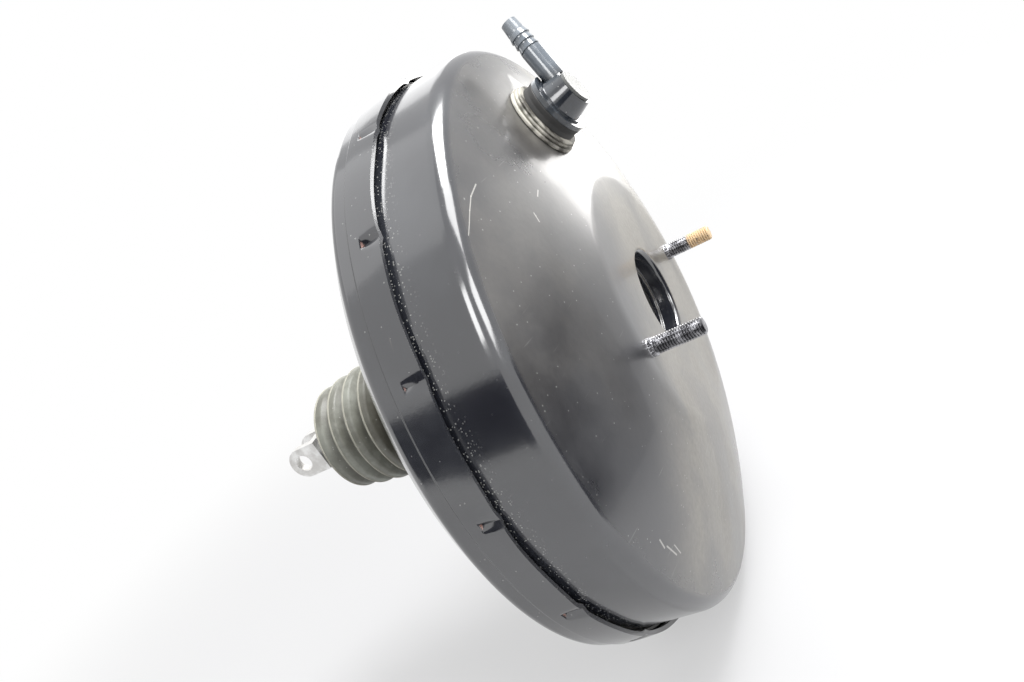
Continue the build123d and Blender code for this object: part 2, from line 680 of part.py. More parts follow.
cuff_r = NECK_R + SOFT
crest_half = BOOT_PITCH / 8
boot_outside = [(BOOT_ROOT_X + BOOT_ROOT_LENGTH, cuff_r + BOOT_WALL)]
boot_outside.append((BOOT_ROOT_X - BOOT_WALL, cuff_r + BOOT_WALL))
boot_inside = [(BOOT_ROOT_X + BOOT_ROOT_LENGTH, cuff_r), (BOOT_ROOT_X - SOFT, cuff_r)]
for fold in range(BOOT_FOLDS):
    crest_x = BOOT_ROOT_X - (fold + 0.85) * BOOT_PITCH
    valley_x = crest_x + BOOT_PITCH / 2
    crest = fold_crest(fold)
    if fold > 0:
        boot_outside.append((valley_x, BOOT_VALLEY_R))
    boot_outside += [(crest_x + crest_half, crest), (crest_x - crest_half, crest)]
    boot_inside += [(valley_x + crest_half, BOOT_VALLEY_R - BOOT_WALL)]
    boot_inside += [(valley_x - crest_half, BOOT_VALLEY_R - BOOT_WALL), (crest_x, crest - BOOT_WALL)]
boot_tail_r = ROD_R + SOFT
boot_outside += [(BOOT_TAIL_X, BOOT_VALLEY_R - BOOT_WALL), (BOOT_TAIL_X, boot_tail_r + BOOT_WALL)]
boot_outside += [(BOOT_TAIL_X - BOOT_TAIL_CUFF, boot_tail_r + BOOT_WALL)]
boot_inside += [(BOOT_TAIL_X + BOOT_WALL, BOOT_VALLEY_R - 2 * BOOT_WALL), (BOOT_TAIL_X + BOOT_WALL, boot_tail_r)]
boot_inside += [(BOOT_TAIL_X - BOOT_TAIL_CUFF, boot_tail_r)]
turned(boot_outside + boot_inside[::-1], "dust_boot")

# ---- Diaphragm and its plate --------------------------------------------------------------------
plate_edge_x = PLATE_X + PLATE_RISE
plate_points = [
    (PLATE_X, BOSS_R + SNUG),
    (PLATE_X, PLATE_FLAT_R),
    (plate_edge_x, PLATE_R),
    (plate_edge_x + PLATE_RIM, PLATE_R + SHEET),
]
turned(plate_points, "diaphragm_plate", bends=BEND, sheet=PLATE_SHEET)

bead_x = BAND_STEP_X + BAND_STEP + SHEET
bead_front_x = FLANGE_X - SHEET
bead_in_r = BAND_R - SHEET - SNUG - BEAD_WIDTH
bead_middle_x = (bead_x + bead_front_x) / 2
diaphragm_points = shifted(plate_points, SNUG + DIAPHRAGM)
diaphragm_points[0] = (diaphragm_points[1][0], HEAD_R + SNUG)
lobe_x = bead_front_x + LOBE_RISE
diaphragm_points += [(lobe_x, diaphragm_points[-1][1] + BEND), (lobe_x, bead_in_r - BEND)]
diaphragm_points += [(bead_middle_x, bead_in_r + DIAPHRAGM)]
with BuildPart() as diaphragm:
    with BuildSketch(Plane.XY):
        with BuildLine():
            FilletPolyline(*diaphragm_points, radius=BEND)
            offset(amount=DIAPHRAGM, side=Side.RIGHT)
        make_face()
        with Locations((bead_middle_x, bead_in_r + BEAD_WIDTH / 2)):
            Rectangle(bead_front_x - bead_x, BEAD_WIDTH)
        with Locations((PLATE_X - SNUG - INNER_BEAD / 2, HEAD_R + SNUG + INNER_BEAD / 2)):
            Rectangle(INNER_BEAD, INNER_BEAD)
    revolve(axis=Axis.X)
finish(diaphragm, "diaphragm")

# ---- Output side: reaction disc, rod, screw, retainer and main spring ----------------------------
ring(REACTION_X, CUP_X, 0, REACTION_R, "reaction_disc")
with BuildPart() as output_rod:
    with BuildSketch(Plane.YZ.offset(CUP_X)):
        Circle(REACTION_R)
    extrude(amount=OUTPUT_CUP_H)
    with BuildSketch(Plane.YZ.offset(CUP_X)):
        Circle(OUTPUT_ROD_R)
    extrude(amount=SCREW_HEAD_X - CUP_X)
    with BuildSketch(Plane.YZ.offset(SCREW_HEAD_X)):
        Circle(SCREW_R + RUNNING)
    extrude(amount=-SCREW_GRIP - STAND_OFF, mode=Mode.SUBTRACT)
finish(output_rod, "output_rod")

with BuildPart() as output_screw:
    with BuildSketch(Plane.YZ.offset(SCREW_HEAD_X - SCREW_GRIP)):
        Circle(SCREW_R)
    extrude(amount=SCREW_GRIP)
    with BuildSketch(Plane.YZ.offset(SCREW_HEAD_X)):
        RegularPolygon(SCREW_FLATS / 2, 6, major_radius=False)
    extrude(amount=SCREW_HEAD_H)
    with BuildSketch(Plane.YZ.offset(SCREW_HEAD_X + SCREW_HEAD_H)):
        Circle(SCREW_TIP_R)
    extrude(amount=SCREW_TIP_H)
    fillet(output_screw.edges().group_by(Axis.X)[-1], radius=SCREW_TIP_R / 2)
finish(output_screw, "output_screw")

ring(BOSS_X, BOSS_X + seal_cup_wall, OUTPUT_ROD_R + STAND_OFF, BOSS_R - SHEET, "output_rod_retainer")
main_spring_x = PLATE_X + PLATE_SHEET + MAIN_WIRE
main_spring_length = stiffener_x - MAIN_WIRE - main_spring_x
coil(
    (main_spring_x, 0, 0), (1, 0, 0), main_spring_length, MAIN_SPRING_R, MAIN_WIRE / 2, MAIN_TURNS, "main_return_spring"
)

# ---- Check valve: grommet, body with its nozzle, cap, disc and spring ----------------------------
sleeve_top = 3 * GROMMET_LIP + GROMMET_SLEEVE_H
neck_top = -GROMMET_SINK
inner_top = -SHEET - 3 * STAND_OFF
grommet_steps = [
    (inner_top - GROMMET_INNER_H, inner_top, GROMMET_INNER_R),
    (inner_top, neck_top, GROMMET_HOLE_R - SNUG),
    (neck_top, GROMMET_LIP, GROMMET_R),
    (GROMMET_LIP, 2 * GROMMET_LIP, GROMMET_R - GROMMET_LIP),
    (2 * GROMMET_LIP, 3 * GROMMET_LIP, GROMMET_R - STAND_OFF),
    (3 * GROMMET_LIP, sleeve_top, GROMMET_SLEEVE_R),
]
with BuildPart() as grommet:
    for low, high, step_r in grommet_steps:
        with BuildSketch(VALVE_PLANE.offset(low)):
            Circle(step_r)
        extrude(amount=high - low)
    with BuildSketch(VALVE_PLANE.offset(inner_top - GROMMET_INNER_H)):
        Circle(STEM_R + SNUG)
    extrude(amount=sleeve_top - inner_top + GROMMET_INNER_H, mode=Mode.SUBTRACT)
finish(grommet, "valve_grommet")

flange_z = sleeve_top + SNUG
neck_z = flange_z + VALVE_FLANGE_H
head_z = neck_z + VALVE_NECK_H
cap_z = head_z + VALVE_HEAD_H
nozzle_z = head_z + NOZZLE_RISE
nozzle_turn = radians(NOZZLE_TURN)
nozzle_dir = VALVE_PLANE.from_local_coords(Vector(sin(nozzle_turn), cos(nozzle_turn), 0)) - VALVE_PLANE.origin
nozzle_root = VALVE_PLANE.offset(nozzle_z).origin
nozzle_side = Plane(origin=nozzle_root, x_dir=nozzle_dir, z_dir=VALVE_PLANE.z_dir)
barb_foot = NOZZLE_LENGTH - TIP_LENGTH - BARB_COUNT * BARB_PITCH
nozzle_points = [
    (NOZZLE_START, 0),
    (NOZZLE_START, NOZZLE_ROOT_R),
    (NOZZLE_ROOT, NOZZLE_R),
    (barb_foot - BARB_GAP, NOZZLE_R),
    (barb_foot - BARB_GAP, BARB_FOOT_R),
]
for barb in range(BARB_COUNT):
    barb_at = barb_foot + barb * BARB_PITCH
    nozzle_points += [(barb_at, BARB_FOOT_R), (barb_at, BARB_R), (barb_at + BARB_H, BARB_FOOT_R)]
nozzle_points += [(NOZZLE_LENGTH - TIP_LENGTH, BARB_FOOT_R), (NOZZLE_LENGTH, TIP_R), (NOZZLE_LENGTH, 0)]
with BuildPart() as check_valve:
    with BuildSketch(VALVE_PLANE.offset(-STEM_BACK)):
        Circle(STEM_R)
    extrude(amount=STEM_BACK + flange_z)
    with BuildSketch(VALVE_PLANE.offset(flange_z)):
        Circle(VALVE_FLANGE_R)
    extrude(amount=VALVE_FLANGE_H)
    with BuildSketch(VALVE_PLANE.offset(neck_z)):
        Circle(VALVE_NECK_R)
    extrude(amount=VALVE_NECK_H)
    with BuildSketch(VALVE_PLANE.offset(head_z)):
        Circle(VALVE_HEAD_R)
    with BuildSketch(VALVE_PLANE.offset(cap_z)):
        Circle(VALVE_HEAD_TOP_R)
    loft()
    with BuildSketch(nozzle_side):
        with BuildLine():
            Polyline(*nozzle_points, close=True)
        make_face()
    revolve(axis=Axis(nozzle_root, nozzle_dir))
    with BuildSketch(Plane(origin=nozzle_root, z_dir=nozzle_dir)):
        Circle(NOZZLE_BORE_R)
    extrude(amount=NOZZLE_LENGTH, mode=Mode.SUBTRACT)
    with BuildSketch(VALVE_PLANE.offset(-CHAMBER_BACK)):
        Circle(CHAMBER_R)
    extrude(amount=CHAMBER_BACK + cap_z, mode=Mode.SUBTRACT)
    with BuildSketch(VALVE_PLANE.offset(-STEM_BACK)):
        Circle(INLET_R)
    extrude(amount=STEM_BACK, mode=Mode.SUBTRACT)
finish(check_valve, "check_valve_body")

with BuildPart() as valve_cap:
    with BuildSketch(VALVE_PLANE.offset(cap_z - CAP_PLUG_H)):
        Circle(CHAMBER_R - RUNNING)
    extrude(amount=CAP_PLUG_H)
    with BuildSketch(VALVE_PLANE.offset(cap_z)):
        Circle(CAP_R)
    extrude(amount=CAP_H)
finish(valve_cap, "check_valve_cap")

disc_z = -CHAMBER_BACK
with BuildPart() as valve_disc:
    with BuildSketch(VALVE_PLANE.offset(disc_z)):
        Circle(DISC_R)
    extrude(amount=DISC_H)
finish(valve_disc, "check_valve_disc")

spring_foot = VALVE_PLANE.offset(disc_z + DISC_H + DISC_WIRE).origin
spring_length = cap_z - CAP_PLUG_H - disc_z - DISC_H - 2 * DISC_WIRE
coil(
    (spring_foot.X, spring_foot.Y, spring_foot.Z),
    (cos(DOME_SLOPE), 0, sin(DOME_SLOPE)),
    spring_length,
    DISC_SPRING_R,
    DISC_WIRE / 2,
    7,
    "check_valve_spring",
)
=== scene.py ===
# %% [markdown]
# # A vacuum brake booster
# The booster multiplies the push of a driver's foot with engine vacuum. Outside it is two black
# steel pressings crimped together, a check valve with a hose nozzle, studs at both ends, a rubber
# boot and a fork for the pedal. The solids come ready from CAD, in metres, with +X towards the
# master cylinder. This lesson gives them their finishes and remakes the pieces whose surface has
# more detail than a solid needs: threads, folds, pressed-in tongues and rubber lips.

# %% Load the solids
import json
from math import cos, pi, radians, sin, tan

import bmesh
import bpy
from mathutils import Matrix, Vector


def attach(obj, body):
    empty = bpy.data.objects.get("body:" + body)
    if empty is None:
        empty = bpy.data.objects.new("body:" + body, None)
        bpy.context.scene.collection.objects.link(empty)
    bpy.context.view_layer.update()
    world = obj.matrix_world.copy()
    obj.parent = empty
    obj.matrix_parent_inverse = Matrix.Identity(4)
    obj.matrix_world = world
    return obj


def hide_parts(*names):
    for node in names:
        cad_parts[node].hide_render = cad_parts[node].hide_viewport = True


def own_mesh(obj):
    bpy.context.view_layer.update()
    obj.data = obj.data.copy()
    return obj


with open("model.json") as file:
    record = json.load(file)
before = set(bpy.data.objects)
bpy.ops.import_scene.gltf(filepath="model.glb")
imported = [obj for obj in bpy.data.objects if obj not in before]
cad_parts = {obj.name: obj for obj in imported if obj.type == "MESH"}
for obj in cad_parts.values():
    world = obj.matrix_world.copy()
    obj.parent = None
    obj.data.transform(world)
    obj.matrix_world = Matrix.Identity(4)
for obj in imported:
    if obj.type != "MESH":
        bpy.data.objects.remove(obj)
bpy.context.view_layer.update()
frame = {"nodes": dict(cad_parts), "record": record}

# %% [markdown]
# ## The camera
# A camera is placed by a matrix whose columns say where its right, its up and its back point.
# The object lies on its rim and is seen from above and in front, with the camera rolled, so
# the three directions are written out rather than found with a look-at constraint.

# %% Camera
CAMERA_PLACE = Vector((0.2093, -0.3856, 0.1392))
CAMERA_RIGHT = Vector((0.8258, 0.2183, -0.5200))
CAMERA_UP = Vector((0.3867, 0.4519, 0.8039))
CAMERA_LENS = 29.88
SENSOR = 36.0

camera_data = bpy.data.cameras.new("camera")
camera_data.sensor_fit = "HORIZONTAL"
camera_data.sensor_width = SENSOR
camera_data.lens = CAMERA_LENS
camera_data.clip_start = 0.01
camera_data.clip_end = 50.0
camera = bpy.data.objects.new("camera", camera_data)
bpy.context.scene.collection.objects.link(camera)
backwards = CAMERA_RIGHT.cross(CAMERA_UP).normalized()
columns = (CAMERA_RIGHT.normalized(), CAMERA_UP.normalized(), backwards)
turn = Matrix(columns).transposed()
camera.matrix_world = Matrix.Translation(CAMERA_PLACE) @ turn.to_4x4()
bpy.context.scene.camera = camera
print("camera looks along", [round(-v, 3) for v in backwards])

# %% [markdown]
# ## Shader sums
# A finish is mostly arithmetic: where is this point, how far does it face forwards, is a scratch
# near. Blender does that with Math nodes. The small class below wraps a node's output, so that
# `dust * 0.5 + patches` adds the Math nodes by itself and a finish reads as a formula.


# %% A value that can be reckoned with
class Value:
    """One output socket of a node, with the operators that a number has."""

    def __init__(self, finish, socket):
        self.finish = finish
        self.socket = socket

    def __add__(self, other):
        return self.finish.sum("ADD", self, other)

    def __radd__(self, other):
        return self.finish.sum("ADD", other, self)

    def __sub__(self, other):
        return self.finish.sum("SUBTRACT", self, other)

    def __rsub__(self, other):
        return self.finish.sum("SUBTRACT", other, self)

    def __mul__(self, other):
        return self.finish.sum("MULTIPLY", self, other)

    def __rmul__(self, other):
        return self.finish.sum("MULTIPLY", other, self)

    def __gt__(self, other):
        return self.finish.sum("GREATER_THAN", self, other)

    def __lt__(self, other):
        return self.finish.sum("LESS_THAN", self, other)


# %% [markdown]
# A node tree is filled by one method, `node`: first the settings that change which sockets there
# are, then the sockets. A few more methods shorten what comes up often, such as a sum, a soft
# step and a mix of colours. A material has such a tree, and so has the world's light.


# %% A node tree
class Nodes:
    """A node tree, and short ways to add to it."""

    def __init__(self, tree):
        self.tree = tree

    def node(self, kind, settings=None, inputs=None, output=0):
        """Adds a node: its settings first, then the values or links of its sockets."""
        node = self.tree.nodes.new(kind)
        for key, value in (settings or {}).items():
            setattr(node, key, value)
        for key, value in (inputs or {}).items():
            self.give(node.inputs[key], value)
        return Value(self, node.outputs[output])

    def give(self, socket, value):
        """Gives a socket a link, a colour or a number."""
        if isinstance(value, Value):
            self.tree.links.new(value.socket, socket)
        elif isinstance(value, tuple) and socket.type == "RGBA":
            socket.default_value = (*value, 1.0)
        else:
            socket.default_value = value

    def sum(self, operation, first, second):
        """One Math node."""
        return self.node("ShaderNodeMath", {"operation": operation}, {0: first, 1: second})

    def parts(self, vector):
        """The three numbers of a vector."""
        split = self.node("ShaderNodeSeparateXYZ", inputs={0: vector})
        outputs = split.socket.node.outputs
        return [Value(self, outputs[index]) for index in range(3)]

    def step(self, value, low, high):
        """0 below low, 1 above high, and soft between them."""
        inputs = {"Value": value, "From Min": low, "From Max": high}
        return self.node("ShaderNodeMapRange", {"interpolation_type": "SMOOTHSTEP"}, inputs)

    def mix(self, factor, first, second):
        """A colour between two colours."""
        return self.node("ShaderNodeMix", {"data_type": "RGBA"}, {0: factor, 6: first, 7: second}, output=2)

    def backdrop_ray(self):
        """1 for rays that look straight at the backdrop: the camera's, a gloss's or a glass's."""
        camera_ray = self.node("ShaderNodeLightPath", output="Is Camera Ray")
        glossy_ray = self.node("ShaderNodeLightPath", output="Is Glossy Ray")
        glass_ray = self.node("ShaderNodeLightPath", output="Is Transmission Ray")
        return self.sum("MAXIMUM", self.sum("MAXIMUM", camera_ray, glossy_ray), glass_ray)


print("tree methods:", [name for name in vars(Nodes) if not name.startswith("_")])

# %% [markdown]
# A finish is a node tree with a Principled shader. It knows where the shaded point is in its
# object's own space, so patterns stay put when a piece moves. Noise, specks, single scratches
# and a bump are the marks that the finishes below are made of.


# %% A finish
class Finish(Nodes):
    """A material with a Principled shader."""

    def __init__(self, name, metallic=0.0, ior=1.5, coat=0.0):
        self.material = bpy.data.materials.new(name)
        self.material.use_nodes = True
        super().__init__(self.material.node_tree)
        self.shader = self.tree.nodes["Principled BSDF"]
        self.set("Metallic", metallic)
        self.set("IOR", ior)
        self.set("Coat Weight", coat)
        self.set("Coat Roughness", 0.05)
        self.point = self.node("ShaderNodeTexCoord", output="Object")
        self.x, self.y, self.z = self.parts(self.point)

    def set(self, socket, value):
        """Gives the shader a link or a constant."""
        self.give(self.shader.inputs[socket], value)

    def surface(self, value):
        """Ends the material in another shader."""
        self.give(self.tree.nodes["Material Output"].inputs["Surface"], value)

    def stretched(self, scale, spin=(0.0, 0.0, 0.0)):
        """The point's place, stretched and turned, for streaks and scratches."""
        return self.node("ShaderNodeMapping", inputs={"Vector": self.point, "Scale": scale, "Rotation": spin})

    def noise(self, scale, detail=3.0, vector=None, roughness=0.5):
        """Cloudy noise from 0 to 1."""
        inputs = {"Vector": vector or self.point, "Scale": scale, "Detail": detail, "Roughness": roughness}
        return self.node("ShaderNodeTexNoise", inputs=inputs)

    def specks(self, scale, size, share):
        """Small round specks, in a share of the cells of a Voronoi pattern."""
        inputs = {"Vector": self.point, "Scale": scale}
        distance = self.node("ShaderNodeTexVoronoi", inputs=inputs, output="Distance")
        colour = self.node("ShaderNodeTexVoronoi", inputs=inputs, output="Color")
        chance = self.parts(colour)[0]
        return (distance < size) * (chance < share)

    def bump(self, height, strength, distance):
        """Feeds a height to the shader's normal."""
        inputs = {"Height": height, "Strength": strength, "Distance": distance}
        self.set("Normal", self.node("ShaderNodeBump", inputs=inputs))

    def axis_distance(self):
        """How far the point is from the booster's axis."""
        square = self.y * self.y + self.z * self.z
        return self.sum("POWER", square, 0.5)

    def facing_front(self):
        """How far the surface faces +X, from -1 to 1."""
        return self.parts(self.node("ShaderNodeTexCoord", output="Normal"))[0]

    def near_line(self, start, end, width):
        """1 on a line drawn in the Y-Z plane and 0 beyond a width from it, for a scratch."""
        along_y, along_z = end[0] - start[0], end[1] - start[1]
        length = along_y**2 + along_z**2
        from_y, from_z = self.y - start[0], self.z - start[1]
        share = (from_y * along_y + from_z * along_z) * (1 / length)
        share = self.node("ShaderNodeClamp", inputs={"Value": share})
        off_y, off_z = from_y - share * along_y, from_z - share * along_z
        return 1.0 - self.step(off_y * off_y + off_z * off_z, width**2 / 8, width**2)


# %% [markdown]
# ## Black paint, dusty and scratched
# Both pressings are dipped in gloss black paint. On the dome the gloss is dulled by years of warm
# grey dust, rubbed thin in patches, with pale specks and hair scratches. The wall and the band
# stay glossy. Dust is a second colour laid over the black by a mask, and the same mask raises
# the roughness, because dusty paint scatters light. On the dome's far side the mask is made much
# heavier: the pale colour there is a painted glare.

# %% Front pressing's paint
PAINT_BLACK = (0.012, 0.013, 0.018)
WALL_FILM = (0.050, 0.054, 0.062)
DUST = (0.120, 0.108, 0.088)
DUST_PALE = (0.210, 0.195, 0.165)
GRIT = (0.42, 0.42, 0.40)
BARE_STEEL = (0.62, 0.60, 0.56)
DOME_SCRATCHES = [
    ((-0.0842, 0.1012), (-0.0915, 0.0992), 0.00035),
    ((-0.0915, 0.0992), (-0.0978, 0.0958), 0.00030),
    ((-0.0978, 0.0958), (-0.1078, 0.0897), 0.00026),
    ((-0.1194, -0.0503), (-0.1186, -0.0550), 0.00050),
    ((-0.1168, -0.0560), (-0.1130, -0.0640), 0.00045),
    ((-0.1120, -0.0600), (-0.1100, -0.0660), 0.00035),
    ((-0.0553, 0.0830), (-0.0590, 0.0815), 0.00035),
    ((-0.0699, 0.0783), (-0.0712, 0.0745), 0.00040),
    ((-0.0739, 0.1305), (-0.0800, 0.1269), 0.00050),
    ((-0.0838, 0.1244), (-0.0885, 0.1222), 0.00045),
]

front_paint = Finish("front_paint", ior=2.1, coat=0.2)
front = front_paint.step(front_paint.facing_front(), 0.80, 0.97)
clouds = front_paint.noise(11.0, 7.0, roughness=0.62)
smears = front_paint.noise(8.0, 5.0, front_paint.stretched((1.0, 3.4, 1.0), (0.6, 0.0, 0.0)))
patches = front_paint.step(clouds * 0.55 + smears * 0.45, 0.38, 0.62)
upper = front_paint.step(front_paint.z, -0.05, 0.13)
# Painted glare: the dome's far side gets much more of the pale dust colour, for the glare of light there.
painted_glare_side = front_paint.step(front_paint.y - front_paint.z * 0.9, -0.080, -0.020)
rubbed_off = front_paint.step(front_paint.noise(34.0, 5.0), 0.42, 0.60)
# This cover, and the mask made from it, carry both real dust and the painted glare on the far side.
dust_and_glare_cover = (0.06 + upper * 0.34 + painted_glare_side * 1.10) * (0.45 + patches * 0.75) * (0.70 + rubbed_off * 0.30)
film = front_paint.step(front_paint.noise(22.0, 5.0), 0.30, 0.75)
dust_and_glare = front * dust_and_glare_cover
grain = front_paint.noise(420.0, 2.0)
dust_colour = front_paint.mix(grain, DUST, DUST_PALE)
painted = front_paint.mix(film * 0.55, PAINT_BLACK, WALL_FILM)
painted = front_paint.mix(dust_and_glare, painted, dust_colour)
gutter = 1.0 - front_paint.step(front_paint.x, 0.052, 0.064)
gutter_specks = front_paint.specks(1050.0, 0.34, 0.30) * gutter * 0.8
face_specks = front_paint.specks(520.0, 0.15, 0.10) * (0.10 + front * 0.5)
hairs = front_paint.noise(60.0, 2.0, front_paint.stretched((1.0, 0.6, 14.0), (0.9, 0.0, 0.0)))
hairlines = front_paint.step(hairs, 0.72, 0.78) * front * 0.22
scratched = 0.0
for start, end, width in DOME_SCRATCHES:
    scratched = front_paint.near_line(start, end, width) + scratched
marks = front_paint.node("ShaderNodeClamp", inputs={"Value": gutter_specks + face_specks + hairlines})
painted = front_paint.mix(marks, painted, GRIT)
scratches = front_paint.node("ShaderNodeClamp", inputs={"Value": scratched * 0.55})
painted = front_paint.mix(scratches, painted, BARE_STEEL)
front_paint.set("Base Color", painted)
front_paint.set("Roughness", 0.13 + film * 0.06 + front * (0.13 + patches * 0.13))
front_paint.bump(grain * (0.2 + dust_and_glare) + clouds * 0.3, 0.12, 0.0006)
print("front paint nodes:", len(front_paint.tree.nodes))

# %% [markdown]
# The rear pressing keeps more of its gloss. Its locking tongues were cut and pushed in after
# painting, so their cut edges show bare metal that has turned rusty pink. The cut faces are the
# only spots on the band that face backwards or forwards steeply at that station, so a mask of
# place alone finds them.

# %% Rear pressing's paint
RUST = (0.33, 0.15, 0.12)
LANCE_CUT = 0.0452
BAND_TOP = 0.1492

rear_paint = Finish("rear_paint", ior=2.1, coat=0.3)
haze = rear_paint.step(rear_paint.noise(18.0, 6.0, roughness=0.65), 0.45, 0.78)
film = rear_paint.mix(haze * 0.6, PAINT_BLACK, WALL_FILM)
fine = rear_paint.specks(480.0, 0.16, 0.10) * 0.4
scuffs = rear_paint.noise(60.0, 2.0, rear_paint.stretched((9.0, 1.0, 1.0)))
scuffed = rear_paint.step(scuffs, 0.72, 0.77) * 0.25
film = rear_paint.mix(fine, film, GRIT)
film = rear_paint.mix(scuffed, film, DUST_PALE)
at_cut = rear_paint.step(rear_paint.x, LANCE_CUT - 0.0010, LANCE_CUT - 0.0002)
past_cut = 1.0 - rear_paint.step(rear_paint.x, LANCE_CUT + 0.0001, LANCE_CUT + 0.0008)
below = 1.0 - rear_paint.step(rear_paint.axis_distance(), BAND_TOP - 0.0006, BAND_TOP + 0.0003)
outside = rear_paint.step(rear_paint.axis_distance(), 0.1462, 0.1466)
cut = at_cut * past_cut * below * outside
rust = rear_paint.mix(rear_paint.noise(900.0, 2.0), RUST, (0.50, 0.36, 0.32))
film = rear_paint.mix(cut, film, rust)
rear_paint.set("Base Color", film)
rear_paint.set("Roughness", 0.12 + haze * 0.08 + scuffed * 0.3 + cut * 0.4)
rear_paint.bump(rear_paint.noise(500.0, 2.0) + haze, 0.05, 0.0004)
print("rear paint nodes:", len(rear_paint.tree.nodes))

# %% [markdown]
# ## Plated steel
# Studs, nut, rod and fork are zinc plated. Zinc dulls to a soft grey with darker, oily hollows.
# Noise varies the colour and roughness, and one stud carries dried tan thread sealant on its
# outer half, so that finish asks where it is along X and on which side of the booster.

# %% Zinc
ZINC = (0.56, 0.56, 0.55)
ZINC_DARK = (0.15, 0.15, 0.16)
SEALANT = (0.62, 0.46, 0.28)


def plated(name, pale, dark, rough):
    """Zinc plate with darker, rougher blotches."""
    finish = Finish(name, metallic=1.0)
    blotch = finish.step(finish.noise(110.0, 5.0, roughness=0.6), 0.38, 0.68)
    finish.set("Base Color", finish.mix(blotch, dark, pale))
    finish.set("Roughness", rough + 0.15 - blotch * 0.15)
    finish.bump(finish.noise(1300.0, 2.0), 0.10, 0.0002)
    return finish


fork_zinc = plated("fork_zinc", (0.93, 0.93, 0.92), (0.70, 0.69, 0.67), 0.28)
hidden_zinc = plated("hidden_zinc", ZINC, ZINC_DARK, 0.34)
stud_zinc = Finish("stud_zinc", metallic=1.0)
oily = stud_zinc.step(stud_zinc.noise(240.0, 4.0), 0.40, 0.66)
sealed = stud_zinc.step(stud_zinc.x, 0.1195, 0.1215) * (stud_zinc.y > 0.0)
sealed = sealed * stud_zinc.step(stud_zinc.noise(500.0, 2.0), 0.30, 0.42)
stud_colour = stud_zinc.mix(oily, (0.16, 0.16, 0.17), (0.50, 0.50, 0.52))
stud_zinc.set("Base Color", stud_zinc.mix(sealed, stud_colour, SEALANT))
stud_zinc.set("Metallic", 1.0 - sealed)
stud_zinc.set("Roughness", 0.30 + sealed * 0.5 + oily * 0.1)
stud_zinc.bump(stud_zinc.noise(1600.0, 2.0) + sealed, 0.15, 0.0003)
print("zinc finishes:", fork_zinc.material.name, stud_zinc.material.name)

# %% [markdown]
# ## Pressed, turned and drawn steel inside
# Nobody sees the inner pieces until the booster is opened, but each has the finish of how it was
# made: rolled sheet is faintly streaked, turned rods have fine rings along X, and spring wire is
# dark and oiled.

# %% Inner metals
sheet_steel = Finish("sheet_steel", metallic=1.0)
rolled = sheet_steel.noise(60.0, 3.0, sheet_steel.stretched((1.0, 12.0, 1.0)))
sheet_steel.set("Base Color", sheet_steel.mix(rolled, (0.30, 0.30, 0.31), (0.48, 0.47, 0.45)))
sheet_steel.set("Roughness", 0.30 + rolled * 0.15)
sheet_steel.bump(rolled, 0.05, 0.0002)

turned_steel = Finish("turned_steel", metallic=1.0)
rings = turned_steel.noise(30.0, 2.0, turned_steel.stretched((90.0, 1.0, 1.0)))
turned_steel.set("Base Color", turned_steel.mix(rings, (0.40, 0.40, 0.41), (0.60, 0.59, 0.57)))
turned_steel.set("Roughness", 0.22 + rings * 0.15)
turned_steel.bump(rings, 0.08, 0.0001)

spring_wire = Finish("spring_wire", metallic=1.0)
oil = spring_wire.step(spring_wire.noise(80.0, 3.0), 0.35, 0.70)
spring_wire.set("Base Color", spring_wire.mix(oil, (0.10, 0.10, 0.11), (0.28, 0.27, 0.26)))
spring_wire.set("Roughness", 0.28 + oil * 0.15)
spring_wire.bump(oil, 0.05, 0.0002)

turned_alloy = Finish("turned_alloy", metallic=1.0)
tool_marks = turned_alloy.noise(30.0, 2.0, turned_alloy.stretched((120.0, 1.0, 1.0)))
turned_alloy.set("Base Color", turned_alloy.mix(tool_marks, (0.62, 0.62, 0.63), (0.80, 0.80, 0.81)))
turned_alloy.set("Roughness", 0.25 + tool_marks * 0.15)
turned_alloy.bump(tool_marks, 0.06, 0.0001)
print("inner metals made")

# %% [markdown]
# ## Rubber, plastic and felt
# The boot is rubber that has gone olive grey, and the ribs on its crests are rubbed pale. Its fold
# valleys are painted darker as shade, and so is the part next to the shell. The check valve is
# smooth slate plastic with a greyer, flat cap. The grommet is black rubber whose lips have dried
# to a pale bloom.

# %% Rubbers
BOOT_DARK = (0.155, 0.155, 0.130)
BOOT_DUST = (0.360, 0.372, 0.330)
BLOOM = (0.52, 0.50, 0.44)

boot_rubber = Finish("boot_rubber")
boot_r = boot_rubber.axis_distance()
# Painted shade: the fold valleys, near the axis, are darkened towards near black.
fold_valley_shade = 1.0 - boot_rubber.step(boot_r, 0.0270, 0.0325)
weather = boot_rubber.step(boot_rubber.noise(45.0, 6.0, roughness=0.65), 0.34, 0.70)
boot_colour = boot_rubber.mix(weather * 0.75, BOOT_DARK, BOOT_DUST)
boot_colour = boot_rubber.mix(fold_valley_shade * 0.5, boot_colour, (0.035, 0.030, 0.022))
# Painted shade: the boot is darkened towards the shell, where the shell shades it.
shell_shade = boot_rubber.step(boot_rubber.x, -0.066, -0.046) * 0.75
boot_colour = boot_rubber.mix(shell_shade, boot_colour, (0.030, 0.022, 0.012))
boot_colour = boot_rubber.mix(boot_rubber.specks(420.0, 0.15, 0.15) * 0.5, boot_colour, GRIT)
boot_rubber.set("Base Color", boot_colour)
boot_rubber.set("Roughness", 0.40 + weather * 0.2)
boot_rubber.bump(boot_rubber.noise(700.0, 3.0) + weather, 0.18, 0.0005)

